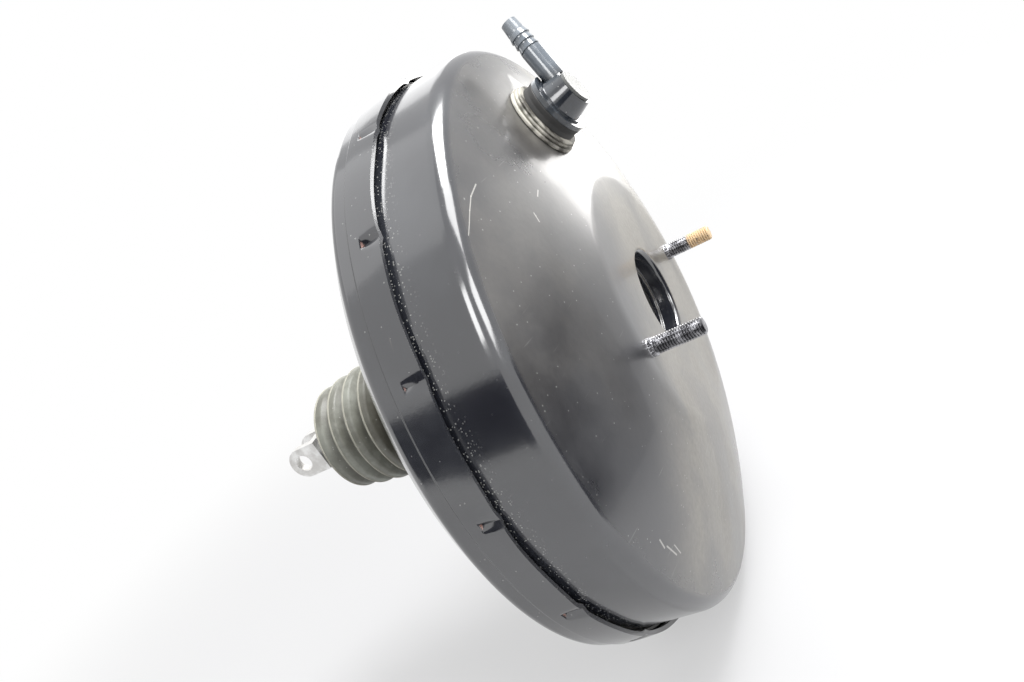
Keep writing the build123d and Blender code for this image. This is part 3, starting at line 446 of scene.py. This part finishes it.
rib_rubber = Finish("rib_rubber")
rubbed = rib_rubber.noise(160.0, 3.0)
rib_rubber.set("Base Color", rib_rubber.mix(rubbed, (0.26, 0.255, 0.21), (0.50, 0.49, 0.42)))
rib_rubber.set("Roughness", 0.55 + rubbed * 0.15)
rib_rubber.bump(rubbed, 0.1, 0.0002)

black_rubber = Finish("black_rubber")
dull = black_rubber.noise(130.0, 4.0)
black_rubber.set("Base Color", black_rubber.mix(dull, (0.010, 0.010, 0.011), (0.045, 0.044, 0.042)))
black_rubber.set("Roughness", 0.42 + dull * 0.25)
black_rubber.bump(black_rubber.noise(900.0, 2.0), 0.12, 0.0002)

lip_rubber = Finish("lip_rubber")
dried = lip_rubber.step(lip_rubber.noise(120.0, 5.0), 0.38, 0.62)
lip_rubber.set("Base Color", lip_rubber.mix(dried, (0.060, 0.055, 0.046), BLOOM))
lip_rubber.set("Roughness", 0.60 + dried * 0.15)
lip_rubber.bump(lip_rubber.noise(800.0, 2.0), 0.15, 0.0003)
print("rubber finishes made")

# %% [markdown]
# A moulded plastic has its colour all through, so its wear is a paler, duller patch and never
# bare metal. A soft step of a noise makes such patches on the check valve. Its hose end is
# painted much paler than its head, as painted light on the nozzle. The cap has faded to grey,
# and the piston shows how its plastic flowed.
# The felt of the filters has no gloss, only the bump of its fibres.

# %% Plastics and felt
valve_plastic = Finish("valve_plastic", ior=1.8, coat=0.3)
wear = valve_plastic.step(valve_plastic.noise(70.0, 5.0), 0.40, 0.75)
# Painted light: above this height the hose nozzle is much paler, for the light that falls on it.
nozzle_painted_light = valve_plastic.step(valve_plastic.z, 0.114, 0.121)
head_slate = valve_plastic.mix(wear * 0.6, (0.014, 0.018, 0.024), (0.070, 0.082, 0.095))
lit_hose_slate = valve_plastic.mix(wear * 0.6, (0.110, 0.130, 0.155), (0.340, 0.370, 0.400))
slate = valve_plastic.mix(nozzle_painted_light, head_slate, lit_hose_slate)
slate = valve_plastic.mix(valve_plastic.specks(500.0, 0.15, 0.12) * 0.4, slate, GRIT)
valve_plastic.set("Base Color", slate)
valve_plastic.set("Roughness", 0.14 + wear * 0.15)
valve_plastic.bump(valve_plastic.noise(600.0, 2.0), 0.05, 0.0002)

cap_plastic = Finish("cap_plastic")
faded = cap_plastic.noise(90.0, 4.0)
cap_plastic.set("Base Color", cap_plastic.mix(faded, (0.10, 0.104, 0.10), (0.17, 0.174, 0.168)))
cap_plastic.set("Roughness", 0.34 + faded * 0.15)
cap_plastic.bump(cap_plastic.noise(600.0, 2.0), 0.05, 0.0002)

piston_plastic = Finish("piston_plastic")
flow = piston_plastic.noise(50.0, 5.0)
piston_plastic.set("Base Color", piston_plastic.mix(flow, (0.020, 0.015, 0.012), (0.070, 0.052, 0.040)))
piston_plastic.set("Roughness", 0.40 + flow * 0.2)
piston_plastic.bump(piston_plastic.noise(500.0, 3.0), 0.10, 0.0002)

felt = Finish("felt")
fibres = felt.noise(900.0, 6.0, roughness=0.8)
felt.set("Base Color", felt.mix(fibres, (0.10, 0.09, 0.07), (0.42, 0.39, 0.33)))
felt.set("Roughness", 0.9)
felt.bump(fibres, 0.6, 0.0008)
print("plastic and felt finishes made")

# %% [markdown]
# ## Give each solid its finish
# A solid from CAD comes with one material slot. Here each slot's name in the parts list picks the
# finish. Small bevels catch a line of light on edges that a real part never leaves sharp. A
# modifier is allowed on a CAD solid because the solid's own mesh stays untouched.

# %% Finishes on the solids
FINISHES = {
    "black_paint": rear_paint,
    "zinc_steel": hidden_zinc,
    "pressed_steel": sheet_steel,
    "rod_steel": turned_steel,
    "spring_steel": spring_wire,
    "machined_aluminium": turned_alloy,
    "moulded_piston": piston_plastic,
    "black_rubber": black_rubber,
    "boot_rubber": boot_rubber,
    "valve_plastic": valve_plastic,
    "cap_plastic": cap_plastic,
    "felt": felt,
}
SPECIAL = {"front_shell": front_paint, "clevis": fork_zinc, "master_cylinder_studs": stud_zinc}
EDGES = {"clevis": 0.0008, "lock_nut": 0.0004, "check_valve_body": 0.0004, "check_valve_cap": 0.0006}
SMOOTH_ANGLE = radians(32)


def paint(piece, finish):
    """Leaves a piece with one material."""
    piece.data.materials.clear()
    piece.data.materials.append(finish.material)


slots = {part["node"]: part["material_slot"] for part in frame["record"]["subparts"]}
for node, solid in frame["nodes"].items():
    finish = SPECIAL.get(node, FINISHES[slots[node]])
    for index in range(max(1, len(solid.material_slots))):
        if len(solid.material_slots) <= index:
            solid.data.materials.append(finish.material)
        else:
            solid.material_slots[index].material = finish.material
    if node in EDGES:
        bevel = solid.modifiers.new("soft_edges", "BEVEL")
        bevel.width = EDGES[node]
        bevel.segments = 3
        bevel.limit_method = "ANGLE"
        bevel.angle_limit = SMOOTH_ANGLE
        bevel.harden_normals = True
print("finished solids:", len(frame["nodes"]))

# %% [markdown]
# ## Spun pieces
# Almost every piece here was turned, spun or moulded round an axis, so one helper makes them all.
# It takes a line of (distance along the axis, radius) points and sweeps it round. An optional
# rule may move each point by its angle, which is how a thread, a row of serrations or the tongues
# in the band appear on the same plain grid.


# %% Sweep a line round an axis
def rounded(points, radii, steps=6):
    """An open line whose inner corners are arcs of the given radii."""
    line = [points[0]]
    for before, corner, after, radius in zip(points, points[1:-1], points[2:], radii):
        back = Vector(before) - Vector(corner)
        ahead = Vector(after) - Vector(corner)
        angle = back.angle(ahead)
        reach = radius / tan(angle / 2)
        start = Vector(corner) + back.normalized() * reach
        end = Vector(corner) + ahead.normalized() * reach
        between = (back.normalized() + ahead.normalized()).normalized()
        middle = Vector(corner) + between * radius / sin(angle / 2)
        first, last = start - middle, end - middle
        sweep = first.angle(last)
        for step in range(steps + 1):
            near = sin((1 - step / steps) * sweep) / sin(sweep)
            far = sin(step / steps * sweep) / sin(sweep)
            line.append(tuple(middle + first * near + last * far))
    line.append(points[-1])
    return line


def spun(name, line, columns=96, rule=None, place=None, closed=False, caps=False):
    """A mesh swept round the X axis, then moved to its place."""
    place = place or Matrix.Identity(4)
    corners = []
    for along, radius in line:
        for column in range(columns):
            angle = 2 * pi * column / columns
            a, r = rule(along, radius, angle) if rule else (along, radius)
            corners.append(place @ Vector((a, r * cos(angle), r * sin(angle))))
    faces = []
    rows = len(line)
    for row in range(rows if closed else rows - 1):
        low, high = row * columns, (row + 1) % rows * columns
        for column in range(columns):
            following = (column + 1) % columns
            faces.append((low + column, low + following, high + following, high + column))
    if caps:
        faces.append(tuple(reversed(range(columns))))
        faces.append(tuple(range((rows - 1) * columns, rows * columns)))
    mesh = bpy.data.meshes.new(name)
    mesh.from_pydata(corners, [], faces)
    mesh.validate()
    mesh.update()
    mesh.shade_smooth()
    mesh.set_sharp_from_angle(angle=SMOOTH_ANGLE)
    piece = bpy.data.objects.new(name, mesh)
    bpy.context.scene.collection.objects.link(piece)
    return piece


def thicken(piece, thickness, edge, inwards=-1.0):
    """Turns a swept surface into sheet with softened edges."""
    solid = piece.modifiers.new("sheet", "SOLIDIFY")
    solid.thickness = thickness
    solid.offset = inwards
    solid.use_even_offset = True
    bevel = piece.modifiers.new("edge", "BEVEL")
    bevel.width = edge
    bevel.segments = 2
    bevel.limit_method = "ANGLE"
    bevel.angle_limit = radians(50)
    bevel.harden_normals = True


print("spinning tools ready")

# %% [markdown]
# ## The rear pressing with its locking tongues
# The band of the rear pressing is cut at sixteen places after it slips over the front pressing,
# and the metal ahead of each cut is pushed in to lock the two. Each push leaves a V-shaped
# pocket that is deepest at the cut and runs out in a notch in the free edge. The band's grid is
# made fine enough for that, and a rule moves its points inwards round each tongue.

# %% Rear pressing
SHEET = 0.002
BAND_R = 0.150
SEAM_X = 0.054
LANCES = 16
LANCE_DEPTH = 0.0021
LANCE_HALF = 0.0024
LANCE_EDGE_HALF = 0.0050
LANCE_EDGE_DEPTH = 0.0013


def press_tongues(along, radius, angle):
    """Pushes the band in round each tongue and waves its free edge."""
    if along < LANCE_CUT or radius < BAND_R - 0.001:
        return along, radius
    nearest = round(angle * LANCES / (2 * pi)) * 2 * pi / LANCES
    index = round(angle * LANCES / (2 * pi)) % LANCES
    aside = abs(angle - nearest) * BAND_R
    share = min(1.0, (along - LANCE_CUT) / (SEAM_X - LANCE_CUT))
    half = LANCE_HALF + (LANCE_EDGE_HALF - LANCE_HALF) * share
    depth = LANCE_DEPTH + (LANCE_EDGE_DEPTH - LANCE_DEPTH) * share
    depth *= 0.85 + 0.25 * sin(index * 2.4)
    bowl = max(0.0, 1 - aside / half)
    bowl = bowl * (0.55 + 0.45 * bowl)
    wave = share**2 * (0.0004 * sin(angle * 7 + 1.0) + 0.0003 * sin(angle * 19))
    return along + wave, radius - depth * bowl - share**2 * 0.0003 * (1 + sin(angle * 5))


cone_foot = 0.074
rear_outline = [
    (-0.034, 0.029),
    (0.0, 0.029),
    (0.0, 0.066),
    (0.008, cone_foot),
    (0.023, 0.138),
    (0.032, BAND_R - 0.0012),
    (0.039, BAND_R - 0.0012),
    (0.0402, BAND_R),
    (0.0440, BAND_R),
]
rear_line = rounded(rear_outline, [0.003, 0.003, 0.003, 0.005, 0.005, 0.0006, 0.0006], 8)
rear_line += [(LANCE_CUT - 0.0001, BAND_R)]
rows = 14
rear_line += [(LANCE_CUT + (SEAM_X - LANCE_CUT) * row / rows, BAND_R) for row in range(rows + 1)]
rear_pressing = spun("rear_pressing", rear_line, LANCES * 48, press_tongues)
thicken(rear_pressing, SHEET, 0.0004)
paint(rear_pressing, rear_paint)
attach(rear_pressing, "shell")
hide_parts("rear_shell")
print("rear pressing faces:", len(rear_pressing.data.polygons))

# %% [markdown]
# ## The front pressing
# Gloss paint shows every flat spot, so the front cup is spun again from many more columns than
# the CAD mesh has. Its line is the same: a short flange under the band, the wall, a rounded
# edge, a dome that is part of a sphere, the flat hub and the collar rolled into the pilot hole.
# Faces under the valve's grommet are taken out, where the real cup has its hole.

# %% Front pressing
HUB_X = 0.107
HUB_R = 0.066
DOME_R = 0.380
WALL_R = 0.1455
dome_centre = HUB_X - (DOME_R**2 - HUB_R**2) ** 0.5


def dome_x(radius):
    """Station of the dome at a radius."""
    return dome_centre + (DOME_R**2 - radius**2) ** 0.5


edge_x = dome_x(WALL_R)
cup_start = rounded(
    [(0.048, 0.1476), (0.048, WALL_R), (edge_x, WALL_R), (dome_x(0.128), 0.128)], [0.001, 0.009], 16
)
cup_dome = [(dome_x(0.128 - 0.001 * ring), 0.128 - 0.001 * ring) for ring in range(1, 58)]
cup_hub = rounded(
    [(dome_x(0.070), 0.070), (HUB_X, HUB_R), (HUB_X, 0.023), (0.098, 0.023), (0.098, 0.0205)],
    [0.040, 0.0025, 0.0005],
    8,
)
cup_line = cup_start + cup_dome + cup_hub
front_cup = spun("front_cup", cup_line, 360)
VALVE_SEAT = Vector((0.0992448, 0.0, 0.1005))
VALVE_UP = Vector((0.9643929, 0.0, 0.2644737))
VALVE_HOLE_R = 0.0145
cut_faces = []
for face in front_cup.data.polygons:
    offset = face.center - VALVE_SEAT
    aside = (offset - VALVE_UP * offset.dot(VALVE_UP)).length
    if aside < VALVE_HOLE_R and face.center.x > 0.08:
        cut_faces.append(face.index)
cup_mesh = bmesh.new()
cup_mesh.from_mesh(front_cup.data)
cup_mesh.faces.ensure_lookup_table()
bmesh.ops.delete(cup_mesh, geom=[cup_mesh.faces[index] for index in cut_faces], context="FACES")
cup_mesh.to_mesh(front_cup.data)
cup_mesh.free()
thicken(front_cup, SHEET, 0.0003)
paint(front_cup, front_paint)
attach(front_cup, "shell")
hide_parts("front_shell")
print("faces cut for the valve:", len(cut_faces))

# %% [markdown]
# ## Threaded studs
# A thread is a groove that climbs one pitch for each turn. On a spun grid that is one rule: the
# radius depends on the distance along the stud less the angle. The crests are cut a little flat.
# The front studs have a serrated collar that bites into the hub, and a plain end.

# %% Studs
STUD_R = 0.004
PITCH = 0.00125
THREAD_DEPTH = 0.00072


def threaded(start, end):
    """A rule that cuts a thread between two stations."""

    def cut_thread(along, radius, angle):
        if not start < along < end:
            return along, radius
        phase = (along / PITCH - angle / (2 * pi)) % 1.0
        groove = min(1.0, max(0.0, 1.35 - abs(phase * 2 - 1) * 2.2))
        return along, radius - THREAD_DEPTH * groove

    return cut_thread


def serrated(low, high, rule):
    """Adds serrations between two stations to another rule."""

    def cut_teeth(along, radius, angle):
        if low < along < high:
            return along, radius - 0.00035 * (1 + cos(angle * 22)) / 2
        return rule(along, radius, angle)

    return cut_teeth


def stud_stations(start, end):
    """Fine stations for a thread."""
    count = int((end - start) / PITCH * 10)
    return [(start + (end - start) * step / count, STUD_R) for step in range(count + 1)]


for name, side in (("stud_left", 1), ("stud_right", -1)):
    stud_line = [(0.0990, 0.0060), (0.0993, 0.0070), (0.1019, 0.0070)]
    stud_line += [(0.1020, 0.0045), (0.1070, 0.0045), (0.1073, 0.0045), (0.1083, 0.0045)]
    stud_line += [(0.1092, 0.0045), (0.1096, 0.0041), (0.1098, STUD_R - 0.0003)]
    stud_line += stud_stations(0.1102, 0.1317) + [(0.1325, 0.0032)]
    rule = serrated(0.1072, 0.1093, threaded(0.1101, 0.1316))
    stud = spun(name, stud_line, 66, rule, Matrix.Translation((0, side * 0.057, 0)), caps=True)
    paint(stud, stud_zinc)
    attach(stud, "shell")
    if side > 0:
        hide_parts("master_cylinder_studs")
rear_spots = [(y * 0.042, z * 0.033) for y in (-1, 1) for z in (-1, 1)]
for index, (y, z) in enumerate(rear_spots):
    rear_line = [(-0.0280, 0.0032)] + stud_stations(-0.0272, -0.0040)
    rear_line += [(-0.0038, STUD_R), (0.0, STUD_R), (0.0, 0.0045), (0.0045, 0.0045), (0.0045, 0.0070)]
    rear_line += [(0.0073, 0.0070), (0.0075, 0.0066)]
    spot = Matrix.Translation((0, y, z))
    stud = spun(f"bulkhead_stud_{index}", rear_line, 48, threaded(-0.0272, -0.0041), spot, caps=True)
    paint(stud, hidden_zinc)
    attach(stud, "shell")
    if index == 0:
        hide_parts("bulkhead_studs")
print("studs made: 6")

# %% [markdown]
# ## The dust boot
# The boot is one rubber moulding: a cuff on the rear neck, five folds and a flat end. Each fold
# is drawn as a few points and rounded, which gives soft crests and tight valleys, and each crest
# carries a thin raised rib. When the pedal is pushed the folds close up, so the boot flattens
# towards its cuff. Its end is a separate piece on the rod, because the rod swings a little.

# %% Boot
FOLDS = 5
FOLD_PITCH = 0.012
BOOT_ROOT = -0.034
BOOT_TAIL = -0.0976


def crest_radius(fold):
    """Folds grow smaller towards the fork."""
    return 0.0355 - 0.0045 * (fold / (FOLDS - 1)) ** 2


boot_points = [(-0.0232, 0.0294), (-0.0230, 0.0313), (-0.0362, 0.0315)]
boot_radii = [0.0003, 0.0015]
for fold in range(FOLDS):
    crest_at = BOOT_ROOT - (fold + 0.85) * FOLD_PITCH
    crest = crest_radius(fold) - 0.0004
    if fold > 0:
        boot_points.append((crest_at + FOLD_PITCH / 2, 0.0275))
        boot_radii.append(0.0012)
    boot_points += [(crest_at + FOLD_PITCH * 0.20, crest), (crest_at - FOLD_PITCH * 0.16, crest)]
    boot_radii += [0.0022, 0.0014]
boot_points += [(BOOT_TAIL, 0.0262), (BOOT_TAIL + 0.0002, 0.0165)]
boot_radii += [0.0018]
boot_line = rounded(boot_points, boot_radii, 6)
boot = spun("boot_folds", boot_line[::-1], 128)
thicken(boot, 0.0014, 0.0003)
paint(boot, boot_rubber)


def settle(piece):
    """Applies a piece's modifiers, so that its mesh can flatten with a joint."""
    bpy.context.view_layer.update()
    graph = bpy.context.evaluated_depsgraph_get()
    mesh = bpy.data.meshes.new_from_object(piece.evaluated_get(graph))
    piece.modifiers.clear()
    piece.data = mesh


settle(boot)
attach(boot, "shell")
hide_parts("dust_boot")
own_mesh(boot)
for fold in range(FOLDS):
    rib_at = BOOT_ROOT - (fold + 0.85) * FOLD_PITCH - FOLD_PITCH * 0.13
    top = crest_radius(fold)
    rib_line = [
        (rib_at + 0.0008, top - 0.0007),
        (rib_at + 0.0003, top - 0.0001),
        (rib_at - 0.0003, top - 0.0001),
        (rib_at - 0.0008, top - 0.0007),
        (rib_at, top - 0.0012),
    ]
    rib = spun(f"boot_rib_{fold}", rib_line, 128, closed=True)
    paint(rib, rib_rubber)
    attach(rib, "shell")
    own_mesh(rib)
tail_line = rounded(
    [
        (-0.0947, 0.0200),
        (-0.0959, 0.0200),
        (-0.0959, 0.0074),
        (-0.1066, 0.0074),
        (-0.1069, 0.0052),
        (-0.0947, 0.0052),
    ],
    [0.0003, 0.0012, 0.0004, 0.0003],
    4,
)
boot_end = spun("boot_end", tail_line, 96, closed=True)
paint(boot_end, boot_rubber)
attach(boot_end, "rod")

# %% [markdown]
# ## The grommet
# The check valve is pushed into a rubber grommet whose thick sleeve grips it and whose lips press
# on the dome. The lips are three soft rings that have dried pale. They are spun round the
# valve's own axis, so their place is a matrix that turns +X to that axis.

# %% Grommet
side_y = Vector((0.0, 1.0, 0.0))
side_z = VALVE_UP.cross(side_y)
valve_place = Matrix.Translation(VALVE_SEAT) @ Matrix((VALVE_UP, side_y, side_z)).transposed().to_4x4()
lip_line = rounded(
    [
        (-0.0002, 0.0150),
        (-0.0002, 0.0188),
        (0.0014, 0.0189),
        (0.0015, 0.0166),
        (0.0017, 0.0166),
        (0.0018, 0.0182),
        (0.0031, 0.0181),
        (0.0032, 0.0164),
        (0.0034, 0.0164),
        (0.0035, 0.0178),
        (0.0045, 0.0174),
        (0.0046, 0.0150),
    ],
    [0.0004, 0.0007, 0.0001, 0.0001, 0.0006, 0.0006, 0.0001, 0.0001, 0.0005, 0.0005],
    5,
)
lips = spun("grommet_lips", lip_line, 96, place=valve_place, closed=True)
paint(lips, lip_rubber)
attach(lips, "shell")
sleeve_line = rounded(
    [
        (-0.0065, 0.0102),
        (-0.0065, 0.0165),
        (-0.0036, 0.0169),
        (-0.0034, 0.0143),
        (0.0044, 0.0143),
        (0.0046, 0.0153),
        (0.0070, 0.0150),
        (0.0099, 0.0154),
        (0.0099, 0.0102),
    ],
    [0.0008, 0.0006, 0.0002, 0.0001, 0.0003, 0.002, 0.0006],
    5,
)
sleeve = spun("grommet_sleeve", sleeve_line, 96, place=valve_place, closed=True)
paint(sleeve, black_rubber)
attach(sleeve, "shell")
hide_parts("valve_grommet")
print("grommet spun round", [round(v, 3) for v in VALVE_UP])

# %% [markdown]
# ## Springs
# A spring is a wire along a helix. A curve with a round bevel makes it, and it becomes a mesh so
# that it can shorten with its joint.

# %% Springs
SPRINGS = [
    ("main_return_spring", "shell", "piston_stroke", (0.0221, 0.0984), 0.036, 0.0018, 7, 0.102, 0.58),
    ("rod_return_spring", "piston", "plunger_travel", (-0.0391, -0.0258), 0.0115, 0.0007, 4, -0.0245, 0.82),
    ("poppet_spring", "piston", "plunger_travel", (-0.0232, -0.0085), 0.0110, 0.0004, 5, -0.0240, 0.84),
    (
        "check_valve_spring",
        "check_valve",
        "check_disc_lift",
        (0.0001, 0.0183),
        0.0040,
        0.0003,
        7,
        0.0186,
        0.92,
    ),
]
along_x = Matrix.Identity(4)


def coil(name, span, radius, wire, turns, place):
    """A wire helix as a mesh, wound round X and then moved to its place."""
    line = bpy.data.curves.new(name, "CURVE")
    line.dimensions = "3D"
    line.bevel_depth = wire
    line.bevel_resolution = 3
    path = line.splines.new("POLY")
    count = int(turns * 28)
    path.points.add(count)
    for index in range(count + 1):
        angle = 2 * pi * turns * index / count
        along = span[0] + (span[1] - span[0]) * index / count
        spot = place @ Vector((along, radius * cos(angle), radius * sin(angle)))
        path.points[index].co = (*spot, 1.0)
    wire_object = bpy.data.objects.new(name + "_line", line)
    bpy.context.scene.collection.objects.link(wire_object)
    bpy.context.view_layer.update()
    graph = bpy.context.evaluated_depsgraph_get()
    mesh = bpy.data.meshes.new_from_object(wire_object.evaluated_get(graph))
    bpy.data.objects.remove(wire_object)
    mesh.shade_smooth()
    piece = bpy.data.objects.new(name + "_wire", mesh)
    bpy.context.scene.collection.objects.link(piece)
    return piece


for node, body, joint, span, radius, wire, turns, still, keep in SPRINGS:
    place = valve_place if body == "check_valve" else along_x
    spring = coil(node, span, radius, wire, turns, place)
    paint(spring, spring_wire)
    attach(spring, body)
    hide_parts(node)
    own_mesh(spring)
print("springs made:", len(SPRINGS))

# %% [markdown]
# ## The diaphragm
# The diaphragm is a rubber sheet: its inner part rides on the piston's plate and its outer bead is
# gripped between the pressings, with a lobe that rolls as the piston moves. It is made as those
# two parts, each on its own body.

# %% Diaphragm
apron_line = rounded(
    [(0.0154, 0.0441), (0.0154, 0.0600), (0.0230, 0.1172), (0.0286, 0.1192), (0.0300, 0.1185),
     (0.0250, 0.1165), (0.0169, 0.0600), (0.0169, 0.0441)],
    [0.003, 0.003, 0.0004, 0.0004, 0.003, 0.003],
    4,
)
apron = spun("diaphragm_apron", apron_line, 160, closed=True)
paint(apron, black_rubber)
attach(apron, "piston")
lobe_line = rounded(
    [(0.0310, 0.1215), (0.0480, 0.1260), (0.0480, 0.1368), (0.0440, 0.1400), (0.0440, 0.1478),
     (0.0424, 0.1478), (0.0424, 0.1385), (0.0465, 0.1355), (0.0465, 0.1272), (0.0310, 0.1230)],
    [0.004, 0.004, 0.001, 0.0005, 0.0005, 0.001, 0.003, 0.003],
    5,
)
lobe = spun("diaphragm_lobe", lobe_line, 160, closed=True)
paint(lobe, black_rubber)
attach(lobe, "shell")
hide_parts("diaphragm")
print("diaphragm in two parts")

# %% [markdown]
# ## Table, light and surroundings
# The booster lies on a plain pale table under soft light. The table's own colour is lit as any
# surface is, and for the camera part of it is mixed with plain white. Near the object that part
# is half, so the soft shadow stays; further off it grows to all, so the table runs into the
# white surroundings without an edge. Gloss and glass see the same table as the camera does.

# %% Table
TABLE_Z = -0.1502


def flat_sheet(name, corners):
    """One flat face."""
    mesh = bpy.data.meshes.new(name)
    mesh.from_pydata(corners, [], [(0, 1, 2, 3)])
    sheet = bpy.data.objects.new(name, mesh)
    bpy.context.scene.collection.objects.link(sheet)
    return sheet


table = flat_sheet("table", [(-6, -6, TABLE_Z), (6, -6, TABLE_Z), (6, 9, TABLE_Z), (-6, 9, TABLE_Z)])
table_finish = Finish("table_white")
table_finish.set("Base Color", (0.50, 0.50, 0.51))
table_finish.set("Roughness", 0.7)
white = table_finish.node("ShaderNodeEmission", inputs={"Color": (1.0, 1.0, 1.0)})
table_square = table_finish.x * table_finish.x + table_finish.y * table_finish.y
from_middle = table_finish.sum("POWER", table_square, 0.5)
white_part = 0.50 + table_finish.step(from_middle, 0.25, 0.85) * 0.50
board = Value(table_finish, table_finish.shader.outputs[0])
shown = {0: table_finish.backdrop_ray() * white_part, 1: board, 2: white}
table_finish.surface(table_finish.node("ShaderNodeMixShader", inputs=shown))
paint(table, table_finish)
print("table at", TABLE_Z)

# %% [markdown]
# Gloss paint shows whatever stands round it. A room is darker at eye height than overhead, so
# two dark cards stand there: one behind the camera and one beside the dome. Only reflections
# see them: they throw no shadow and take no light from the scene.

# %% Dark cards for the gloss to mirror
CARDS = {
    "card_behind": [(-1.9, -1.3, -0.16), (0.5, -1.3, -0.16), (0.5, -1.3, 0.42), (-1.9, -1.3, 0.42)],
    "card_beside": [(0.26, -0.16, TABLE_Z), (0.26, 0.075, TABLE_Z), (0.26, 0.075, 0.05), (0.26, -0.16, 0.05)],
}
card_finish = Finish("card_black")
card_finish.set("Base Color", (0.05, 0.05, 0.06))
card_finish.set("Roughness", 0.9)
for name, corners in CARDS.items():
    card = flat_sheet(name, corners)
    paint(card, card_finish)
    card.visible_camera = False
    card.visible_shadow = False
    card.visible_diffuse = False
print("cards placed:", len(CARDS))

# %% [markdown]
# Seven soft area lamps light the scene. The window and the front lamp draw the bright line on the
# rounded edge of the dome and throw the shadow to the left. The camera's lamp lights the boot and
# the hose nozzle. The ceiling and the back lamp fill the gloss of the band and wall. The table
# lamp and the glare lamp brighten what the dome mirrors at its far side.

# %% Lamps and world
WORLD_LIGHT = 0.36


def lamp(name, place, target, size, power, colour=(1.0, 1.0, 1.0)):
    """A square area lamp that points at a target."""
    data = bpy.data.lights.new(name, "AREA")
    data.shape = "SQUARE"
    data.size = size
    data.energy = power
    data.color = colour
    light = bpy.data.objects.new(name, data)
    light.location = place
    light.rotation_euler = (Vector(target) - Vector(place)).to_track_quat("-Z", "Y").to_euler()
    bpy.context.scene.collection.objects.link(light)
    return light


lamp("window_light", (1.10, -0.05, 1.45), (0, 0, 0), 0.8, 11.0)
lamp("front_light", (1.25, -0.85, 0.85), (0, 0, 0), 0.6, 7.0)
lamp("camera_light", (0.15, -1.20, 0.95), (0, 0, 0), 0.5, 5.0)
lamp("ceiling_light", (-0.55, 0.05, 1.50), (0, 0, 0), 1.4, 3.2)
lamp("back_light", (-0.60, 1.30, 0.70), (0, 0, 0), 0.8, 2.3)
lamp("table_light", (0.45, 0.25, 0.95), (0.2, 0.05, TABLE_Z), 0.5, 17.0)
lamp("glare_light", (0.55, 1.25, -0.02), (0.1, 0, 0), 0.6, 7.0, (1.0, 0.985, 0.96))
world = bpy.data.worlds.new("surroundings")
bpy.context.scene.world = world
world.use_nodes = True
sky = Nodes(world.node_tree)
level = sky.backdrop_ray() * (1.0 - WORLD_LIGHT) + WORLD_LIGHT
background = world.node_tree.nodes["Background"]
sky.give(background.inputs["Color"], (1.0, 1.0, 1.0))
sky.give(background.inputs["Strength"], level)
bpy.context.scene.view_settings.view_transform = "Standard"
print("lights set")

# %% [markdown]
# ## Finish
